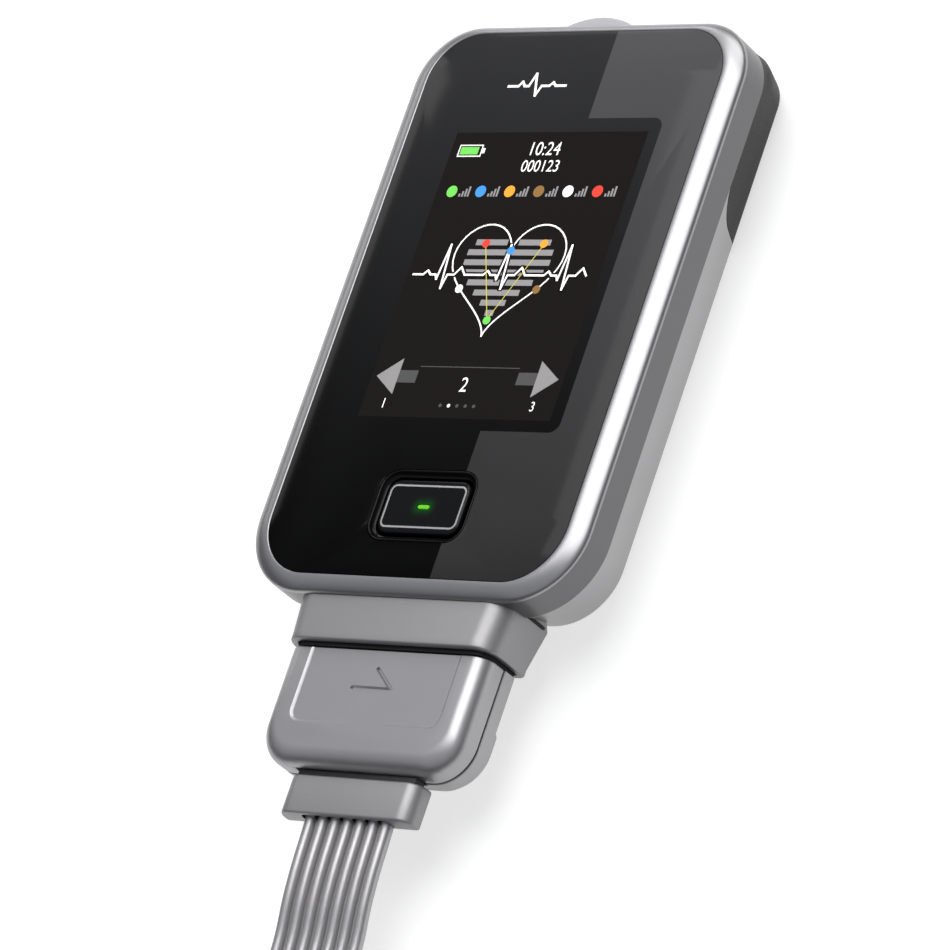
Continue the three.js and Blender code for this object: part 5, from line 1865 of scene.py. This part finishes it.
class Plug:
    """The two-shell plug with its panel, arrow and finger ridge, and the yoke under it."""

    sizes = PLUG

    def __init__(self) -> None:
        """Works out its levels from its sizes."""
        p = self.sizes
        self.shoulder = CASE.lip_y - p.shoulder_gap
        self.end = self.shoulder - p.length
        self.top_z = CASE.thickness - p.top_drop
        self.parting_z = self.top_z - p.front_depth
        self.rear_top = self.parting_z - p.parting
        self.low_z = self.rear_top - p.rear_depth
        self.yoke_z = CASE.thickness - p.yoke_depth
        self.yoke_high = self.end - p.yoke_gap
        self.yoke_low = self.yoke_high - p.yoke_length

    def edge(self, inset: float, z: float) -> Ring:
        """Draws the plug's outline at a height, drawn in by a length, to beyond the shoulder."""
        p, r = self.sizes, self.sizes.corner - inset * 0.5
        return level(outline(p.width / 2 - inset, self.end + inset, self.shoulder + p.corner, r, r), z)

    def clear(self, shell: Solid) -> None:
        """Takes what lies beyond the shoulder and the space of the yoke's neck out of a shell.

        Args:
            shell: the shell.
        """
        p = self.sizes
        shell.cut(Solid.block("trim", (-30, self.shoulder, -5), (30, self.shoulder + 14, 30)))
        w, h = p.neck_width / 2 + p.neck_gap, p.neck_thickness / 2 + p.neck_gap
        high = (w, self.end + p.neck_length + p.neck_gap, self.yoke_z + h)
        shell.cut(Solid.block("neck", (-w, self.end - 1, self.yoke_z - h), high))

    def plug_front(self) -> None:
        """Makes the front shell with its panel and half arrow."""
        p = self.sizes
        rings = [self.edge(p.seam_round, self.parting_z), self.edge(0.0, self.parting_z + 0.15)]
        for cosine, sine in quarter(9):
            rings.append(self.edge(p.front_edge * (1 - cosine), self.top_z - p.front_edge * (1 - sine)))
        shell = Solid.loft("plug_front", rings)
        self.clear(shell)
        shell.soften(0.22, 3, 60)
        low = self.shoulder - p.panel_length
        floor = self.top_z - p.panel_drop

        def panel(grow: float, z: float) -> Ring:
            """Draws the panel's edge, grown by a length, at a height."""
            corner = p.panel_corner + grow
            return level(outline(p.panel_width / 2 + grow, low - grow, self.shoulder + 5, corner, 1.0, 10), z)

        well = ((0.0, floor), (0.12, floor + 0.1), (0.5, self.top_z + 0.05), (0.5, self.top_z + 2))
        shell.cut(Solid.loft("well", [panel(grow, z) for grow, z in well]))
        tip, *ends = [(x, self.shoulder - drop) for x, drop in p.arrow]
        for start in ends:
            shell.cut(self.stroke(start, tip, p.arrow_width, floor - p.arrow_depth, floor + 0.02))
        shell.dress(SATIN, Body.CABLE, "plug_front_shell")

    def stroke(self, start: Point, end: Point, width: float, low: float, high: float) -> Solid:
        """Makes a round-ended wedge for an engraved line.

        Args:
            start: where the line starts.
            end: where it ends.
            width: its width at the surface.
            low: the height of its floor.
            high: the height of the surface.

        Returns:
            The solid.
        """
        angle = math.atan2(end[1] - start[1], end[0] - start[0])

        def ring(breadth: float, z: float) -> Ring:
            """Draws the line's outline.

            Args:
                breadth: its breadth.
                z: its height.

            Returns:
                The ring of points.
            """
            half, turns = breadth / 2, [math.pi * step / 8 for step in range(9)]
            sides = ((end, angle - math.pi / 2), (start, angle + math.pi / 2))
            return level([
                (x + half * math.cos(side + turn), y + half * math.sin(side + turn))
                for (x, y), side in sides for turn in turns
            ], z)

        return Solid.loft("stroke", [ring(width * 0.35, low), ring(width, high), ring(width, high + 0.5)])

    def plug_rear(self) -> None:
        """Makes the rear shell with its finger ridge."""
        p = self.sizes
        rings = []
        for cosine, sine in quarter(6):
            rings.append(self.edge(p.rear_edge * (1 - sine), self.low_z + p.rear_edge * (1 - cosine)))
        rings += [self.edge(0.0, self.rear_top - p.seam_round), self.edge(p.seam_round, self.rear_top)]
        shell = Solid.loft("plug_rear", rings)

        def ridge(inset: float, z: float) -> Ring:
            """Draws the ridge's outline, drawn in by a length, at a height."""
            high = self.end + 2 * p.grip_inset + p.grip_length - inset
            return level(outline(p.width / 2 - inset, self.end + inset, high, p.corner, 0.6, 8), z)

        shell.join(Solid.loft("ridge", [
            ridge(p.grip_inset * share, self.low_z + p.grip_height * rise) for share, rise in p.grip_section
        ]))
        self.clear(shell)
        shell.dress(SATIN, Body.CABLE, "plug_rear_shell")

    def yoke(self) -> None:
        """Makes the yoke with the holes that the leads leave by, and its neck."""
        p, edge = self.sizes, self.sizes.yoke_round
        half = p.yoke_thickness / 2

        def section(grow: float, y: float) -> Ring:
            """Draws the yoke's outline, grown by a length, at a place along Y."""
            return level(outline(
                p.yoke_width / 2 + grow, self.yoke_z - half - grow, self.yoke_z + half + grow,
                p.yoke_back_corner + grow, p.yoke_front_corner + grow, 10,
            ), y, Axis.Y)

        low, high = self.yoke_low, self.yoke_high
        rings = [section(-edge * (1 - sine), low + edge * (1 - cosine)) for cosine, sine in quarter(4)]
        rings += [section(-edge * (1 - cosine), high - edge * (1 - sine)) for cosine, sine in quarter(4)]
        yoke = Solid.loft("lead_yoke", rings)
        steps = ((p.hole_mouth, -1.0), (p.hole_mouth, 0.1), (p.hole_inner, 1.4), (p.hole_inner, p.hole_depth))
        for index in range(len(LEAD_NAMES)):
            x = (index - 3) * LEAD.pitch
            yoke.cut(Solid.loft("hole", [
                level(pad(2 * w, 2 * h, w * 0.98, (x, self.yoke_z + rise)), self.yoke_low + depth, Axis.Y)
                for (w, h, rise), depth in steps
            ]))
        piece = yoke.dress(SOFT_SATIN, Body.CABLE, "cable_yoke")
        # Painted shade: the faces inside the lead holes take the black moulding, so that the holes look dark.
        piece.data.materials.append(MOULDED.material())
        for face in piece.data.polygons:
            depth = face.center.y / MM - self.yoke_low
            rise = face.center.z / MM - self.yoke_z
            within = abs(rise) < half - 0.05 if depth > edge + 0.02 else -1.3 < rise < 1.2
            along = abs(face.center.x / MM) < 3.5 * LEAD.pitch + 0.1
            wall = 0.02 < depth < p.hole_depth + 0.1 and abs(face.normal.y) < 0.6
            if along and within and (wall or abs(depth - p.hole_depth) < 0.05):
                face.material_index = 1
        # Painted shade: the neck is a real part, but it is black so that the gap between the plug and the
        # yoke looks shadowed.
        w, h = p.neck_width / 2, p.neck_thickness / 2
        high = (w, self.end + p.neck_length, self.yoke_z + h)
        neck = Solid.block("yoke_neck", (-w, self.yoke_high - 0.3, self.yoke_z - h), high)
        neck.soften(0.3, 2).dress(MOULDED, Body.CABLE)


@dataclass(frozen=True)
class Snap:
    """A snap connector: a domed disc with a ribbed neck over the lead's end."""

    gap: float = 0.3
    reach: float = 8.625
    neck_z: float = 1.72
    disc: Line = (
        (0.0, 0.0), (4.9, 0.0), (5.15, 0.1), (5.25, 0.35), (5.25, 3.2), (5.15, 3.55), (4.9, 3.85),
        (4.4, 4.05), (3.9, 4.1), (3.7, 4.0), (3.45, 4.0), (3.2, 4.25), (2.4, 4.5), (1.2, 4.58), (0.0, 4.6),
    )
    mouth: Line = ((0.0, 0.0), (1.5, 0.0), (1.65, 0.15))
    rib: Line = ((1.6, 0.0), (1.25, 0.15), (1.25, 0.45), (1.7, 0.6))
    ribs: tuple[float, ...] = (0.9, 2.0, 3.1, 4.2)
    root: Line = ((1.9, 5.6), (2.15, 7.2), (2.2, 8.4), (0.0, 8.4))

    def build(self, name: str, path: Sequence[Vector]) -> Piece:
        """Makes the connector at the end of a lead.

        Args:
            name: the lead's name.
            path: the lead's middle line.

        Returns:
            The piece.
        """
        heading = (path[-1] - path[-2]).normalized()
        start = path[-1] + heading * self.gap
        middle = start + heading * self.reach
        middle.z = 0.0
        disc = Solid.turned(f"snap_{name}_cap", self.disc, middle, UP, 56)
        neck = list(self.mouth)
        for at in self.ribs:
            neck += [(radius, at + place) for radius, place in self.rib]
        start.z = self.neck_z
        disc.join(Solid.turned("stem", neck + list(self.root), start, heading, 32))
        disc.cut(Solid.block("floor", (middle.x - 20, middle.y - 20, -5), (middle.x + 20, middle.y + 20, 0)))
        finish = Finish(f"snap_{name}", SNAP_COLORS[name], 0.4, depth=0.004, mottle=0.05)
        piece = disc.dress(finish, Body.CABLE, f"snap_{name}")
        return piece


class Leads:
    """The seven leads with their snap connectors and the strap round the roll."""

    def __init__(self, plug: Plug) -> None:
        """Works out where the ribbon ends and where the roll lies.

        Args:
            plug: the plug that the leads leave.
        """
        self.start_y = plug.yoke_low
        self.join_angle = 2 * math.pi * LEAD.join_turn
        reach = LEAD.bend_radius + LEAD.coil_radius
        self.coil_x = LEAD.bend_radius - reach * math.cos(self.join_angle)
        self.coil_y = plug.yoke_low - LEAD.flat_length - reach * math.sin(self.join_angle)
        self.length = LEAD.flat_length + LEAD.bend_radius * self.join_angle
        self.free = self.length - 2 * LEAD.diameter - LEAD.join_gap
        self.radius = LEAD.diameter / 2
        self.middle_z = self.radius + LEAD.pitch * 3

    def height(self, distance: float) -> float:
        """Gives the height of the flat ribbon's middle, without its sag.

        Args:
            distance: how far from the yoke.

        Returns:
            The height, on a smooth curve through the heights of the route.
        """
        heights, step = RIBBON_HEIGHTS, RIBBON_STEP
        index = min(int(max(distance, 0.0) / step), len(heights) - 2)
        t = max(distance, 0.0) / step - index
        a, b = heights[index], heights[index + 1]
        before = heights[index - 1] if index else a - (b - a)
        after = heights[index + 2] if index + 2 < len(heights) else b + (b - a)
        rise, fall = (b - before) / 2, (after - a) / 2
        cube, square = t**3, t * t
        return (
            (2 * cube - 3 * square + 1) * a + (cube - 2 * square + t) * rise
            + (3 * square - 2 * cube) * b + (cube - square) * fall
        )

    def ribbon(self, distance: float) -> tuple[float, float]:
        """Gives the height and the twist of the ribbon's middle.

        Args:
            distance: how far from the yoke.

        Returns:
            The height and the angle.
        """
        start = LEAD.flat_length - LEAD.twist_delay
        share = smooth((distance - start) / (self.free - start))
        if distance < LEAD.flat_length:
            sag = LEAD.sag * (1 - smooth(distance / LEAD.sag_reach))
            return self.height(distance) - sag, math.pi / 2 * share
        last = RIBBON_HEIGHTS[-1]
        return last + (self.middle_z - last) * share, math.pi / 2 * share

    def ribbon_point(self, distance: float, offset: float, height: float) -> Vector:
        """Gives a point beside the ribbon's middle line, which runs straight and then bends.

        Args:
            distance: how far from the yoke.
            offset: how far beside the middle line.
            height: its height.

        Returns:
            The point.
        """
        bend = max(distance - LEAD.flat_length, 0.0) / LEAD.bend_radius
        reach = LEAD.bend_radius - offset
        return Vector((
            LEAD.bend_radius - reach * math.cos(bend),
            self.start_y - min(distance, LEAD.flat_length) - reach * math.sin(bend),
            height,
        ))

    def turns(self, index: int) -> float:
        """Gives how many turns a lead is rolled."""
        return LEAD.first_turns + LEAD.turn_step * index

    def stack_z(self, index: int, turn: float) -> float:
        """Gives a lead's height in the roll.

        Args:
            index: the lead's number.
            turn: how many turns from the roll's start.

        Returns:
            The height, lower where a lead below has ended and higher under the strap.
        """
        left = sum(
            smooth((turn - self.turns(lower) - LEAD.drop_delay) / LEAD.drop_turn) for lower in range(index)
        )
        from_tie = (turn - LEAD.tie_turn + 0.5) % 1 - 0.5
        lift = LEAD.tie_lift * smooth(1 - abs(from_tie) / LEAD.tie_spread)
        return self.radius + LEAD.pitch * (index - left) + lift

    def coil_point(self, turn: float, inward: float, z: float) -> Vector:
        """Gives a point of the roll.

        Args:
            turn: how many turns from the roll's start.
            inward: how far inside a lead's place there.
            z: its height.

        Returns:
            The point.
        """
        angle = self.join_angle - 2 * math.pi * turn
        radius = LEAD.coil_radius - LEAD.coil_rise * turn - inward
        return Vector((self.coil_x + radius * math.cos(angle), self.coil_y + radius * math.sin(angle), z))

    def path(self, index: int) -> list[Vector]:
        """Gives a lead's whole middle line, from inside the yoke to its connector.

        Args:
            index: the lead's number.

        Returns:
            The line's points.
        """
        offset, turns = (index - 3) * LEAD.pitch, self.turns(index)
        points = [Vector((offset, self.start_y + LEAD.hole_depth, RIBBON_HEIGHTS[0]))]
        for step in range(45):
            distance = self.free * step / 44
            height, twist = self.ribbon(distance)
            across, up = offset * math.cos(twist), offset * math.sin(twist)
            points.append(self.ribbon_point(distance, across, height + up))
        points.append(self.ribbon_point(self.length - LEAD.diameter, 0.0, self.stack_z(index, 0.0)))
        count = round(turns * 56)
        for step in range(count + 1):
            turn = turns * step / count
            points.append(self.coil_point(turn, 0.0, self.stack_z(index, turn)))
        angle = self.join_angle - 2 * math.pi * turns
        centre = self.coil_point(turns, LEAD.tail_radius, self.radius)
        for step in range(1, 15):
            bend = angle - 2 * math.pi * LEAD.tail_turn * step / 14
            points.append(centre + Vector((math.cos(bend), math.sin(bend), 0.0)) * LEAD.tail_radius)
        bend = angle - 2 * math.pi * LEAD.tail_turn
        points.append(points[-1] + Vector((math.sin(bend), -math.cos(bend), 0.0)) * LEAD.lead_end)
        return points

    def strap(self) -> None:
        """Makes the rubber strap round the roll."""
        outer = LEAD.coil_radius - LEAD.coil_rise * LEAD.tie_turn + self.radius + LEAD.tie_gap
        inner = LEAD.coil_radius - LEAD.coil_rise * (LEAD.tie_turn + 2) - self.radius - LEAD.tie_gap
        low = LEAD.tie_lift - LEAD.tie_gap / 2
        high = low + LEAD.pitch * 6 + LEAD.diameter + LEAD.tie_gap
        middle = ((outer + inner) / 2, (high + low) / 2)
        t, edge = LEAD.tie_thickness, LEAD.tie_thickness - LEAD.tie_round
        rings = []
        for grow, at in ((edge, -1.0), (t, -0.85), (t, 0.85), (edge, 1.0), (0.0, 1.0), (0.0, -1.0)):
            section = pad(outer - inner + 2 * grow, high - low + 2 * grow, t + grow, middle)
            rings.append(level(section, at * LEAD.tie_width / 2, Axis.Y))
        strap = Solid.loft("roll_strap", rings, closed=True)
        turn = Matrix.Rotation(self.join_angle - 2 * math.pi * LEAD.tie_turn, 4, "Z")
        shift = Matrix.Translation(Vector((self.coil_x, self.coil_y, 0.0)) * MM)
        strap.object.data.transform(shift @ turn)
        strap.dress(SEAL_BLACK, Body.CABLE, "cable_tie")

    def seven_leads(self) -> None:
        """Makes the leads with their connectors."""
        tree = tube_tree()
        for index, name in enumerate(LEAD_NAMES):
            path = self.path(index)
            snap = Snap().build(name, path)
            line = curve_of(f"line_{name}", path)
            piece = tree.grow(f"lead_wire_{name}", GREY_LEAD, start=line, Radius=self.radius * MM, Sides=18)
            dress(piece, GREY_LEAD, Body.CABLE, f"lead_{name}", f"coil_{name}", smooth=60)


# Pieces taken over from the CAD


CARRIED = {
    "display_module": KEY_BLACK, "display_flex": FILM, "front_switch_plunger": MOULDED, "front_switch": STEEL,
    "status_led": LAMP, "event_switch": MOULDED, "main_board": BOARD, "shield_can": STEEL, "buzzer": MOULDED,
    "battery_contact": STEEL, "socket_block": MOULDED, "plug_tongue": MOULDED, "plug_seal": SEAL_BLACK,
}


def inner_parts() -> None:
    """Gives every CAD node that shows a finish of its own."""
    for name, finish in CARRIED.items():
        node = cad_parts[name]
        node.data.materials.clear()
        node.data.materials.append(finish.material())


# Stage


@dataclass(frozen=True)
class Lamp:
    """A soft rectangular light, with its place and its size in metres and its power in watts."""

    name: str
    place: Triple
    size: Point
    power: float
    aim: Triple = (0.0, -0.01, 0.0)

    def build(self) -> None:
        """Adds the light."""
        data = bpy.data.lights.new(self.name, "AREA")
        data.shape = "RECTANGLE"
        data.size, data.size_y = self.size
        data.energy = self.power
        lamp = placed(self.name, data)
        lamp.location = self.place
        lamp.rotation_euler = (Vector(self.aim) - Vector(self.place)).to_track_quat("-Z", "Y").to_euler()


@dataclass(frozen=True)
class Stage:
    """The camera at the photograph's angle, the floor and the soft lights."""

    right: Triple = (0.779773, 0.30616, -0.546095)
    down: Triple = (0.027219, -0.888024, -0.458992)
    ahead: Triple = (-0.62547, 0.343045, -0.700791)
    place: Triple = (0.596574, -0.349542, 0.678046)
    lens: float = 241.8436
    floor_reach: float = 3.0
    floor_z: float = -0.0002
    floor_seen: float = 0.66
    sky_color: Row = (0.9, 0.93, 1.0, 1.0)
    sky_range: Point = (0.28, 0.72)
    sky_strength: Point = (0.02, 0.52)
    fill: float = 0.3
    lamps: tuple[Lamp, ...] = (
        Lamp("overhead", (0.08, 0.3, 0.82), (0.8, 0.6), 5.9),
        Lamp("back", (-0.5, 0.8, 0.36), (0.35, 0.3), 0.9),
        Lamp("left", (-0.86, 0.4, 0.33), (0.3, 0.2), 0.4),
        Lamp("corner", (0.08, 0.75, 0.5), (0.55, 0.35), 1.9),
    )

    def camera(self) -> None:
        """Makes the camera."""
        data = bpy.data.cameras.new("photo_camera")
        data.sensor_width = 36.0
        data.lens = self.lens
        data.clip_start, data.clip_end = 0.05, 20.0
        camera = placed("photo_camera", data)
        turn = Matrix((Vector(self.right), -Vector(self.down), -Vector(self.ahead))).transposed()
        camera.matrix_world = Matrix.Translation(self.place) @ turn.to_4x4()
        bpy.context.scene.camera = camera

    def floor(self) -> None:
        """Makes the pale floor, which keeps the shadows."""
        mesh = bpy.data.meshes.new("floor")
        reach = self.floor_reach
        corners = ((-reach, -reach), (reach, -reach), (reach, reach), (-reach, reach))
        mesh.from_pydata([(x, y, self.floor_z) for x, y in corners], [], [(0, 1, 2, 3)])
        floor = placed("floor", mesh)
        shader = Shader("floor", 0.9, 0.0)
        shader.feed("Base Color", shader.mix(shader.noise(400.0), (0.5, 0.5, 0.5), (0.52, 0.52, 0.52)))
        shader.set("Specular IOR Level", 0.0)
        shader.set("Emission Color", (1.0, 1.0, 1.0, 1.0))
        path = shader.tree.nodes.new("ShaderNodeLightPath")
        seen = path.outputs["Is Camera Ray"]
        for kind in ("Is Glossy Ray", "Is Transmission Ray"):
            seen = shader.math("MAXIMUM", seen, path.outputs[kind])
        shader.feed("Emission Strength", shader.math("MULTIPLY", seen, self.floor_seen))
        mesh.materials.append(shader.material)

    def world(self) -> None:
        """Fills the surroundings with an even light, which gloss sees brighter overhead than low down."""
        world = bpy.data.worlds.new("studio")
        world.use_nodes = True
        tree = world.node_tree
        ground = tree.nodes["Background"]
        ground.inputs["Color"].default_value = self.sky_color
        direction = tree.nodes.new("ShaderNodeTexCoord")
        split = tree.nodes.new("ShaderNodeSeparateXYZ")
        tree.links.new(direction.outputs["Generated"], split.inputs[0])
        sky = tree.nodes.new("ShaderNodeMapRange")
        sky.interpolation_type = "SMOOTHSTEP"
        names = ("From Min", "From Max", "To Min", "To Max")
        for name, value in zip(names, self.sky_range + self.sky_strength):
            sky.inputs[name].default_value = value
        tree.links.new(split.outputs[2], sky.inputs["Value"])
        path = tree.nodes.new("ShaderNodeLightPath")
        strength = tree.nodes.new("ShaderNodeMix")
        strength.inputs[2].default_value = self.fill
        tree.links.new(path.outputs["Is Glossy Ray"], strength.inputs[0])
        tree.links.new(sky.outputs[0], strength.inputs[3])
        tree.links.new(strength.outputs[0], ground.inputs["Strength"])
        bpy.context.scene.world = world

    def stage(self) -> None:
        """Makes the whole stage."""
        self.camera()
        self.floor()
        self.world()
        for lamp in self.lamps:
            lamp.build()
        bpy.context.scene.view_settings.view_transform = "Standard"


def main() -> None:
    """Builds the stage and every piece in order."""
    logging.basicConfig(level=logging.INFO)
    plug, casing, hardware, buttons, screen = Plug(), Casing(), Hardware(), Buttons(), Screen()
    leads = Leads(plug)
    builders = (
        Stage().stage, leads.seven_leads, leads.strap, plug.plug_front, plug.plug_rear, plug.yoke,
        casing.front_shell, casing.back_shell, casing.battery_cover, casing.front_glass,
        Socket(casing).collar, hardware.case_screws, hardware.battery_cell, hardware.battery_spring,
        hardware.socket_pins, buttons.front_button, buttons.event_button, screen.picture,
        screen.pulse_mark, inner_parts,
    )
    for build in builders:
        build()
        log.info("built: %s", build.__name__.replace("_", " "))


if __name__ == "__main__":
    main()
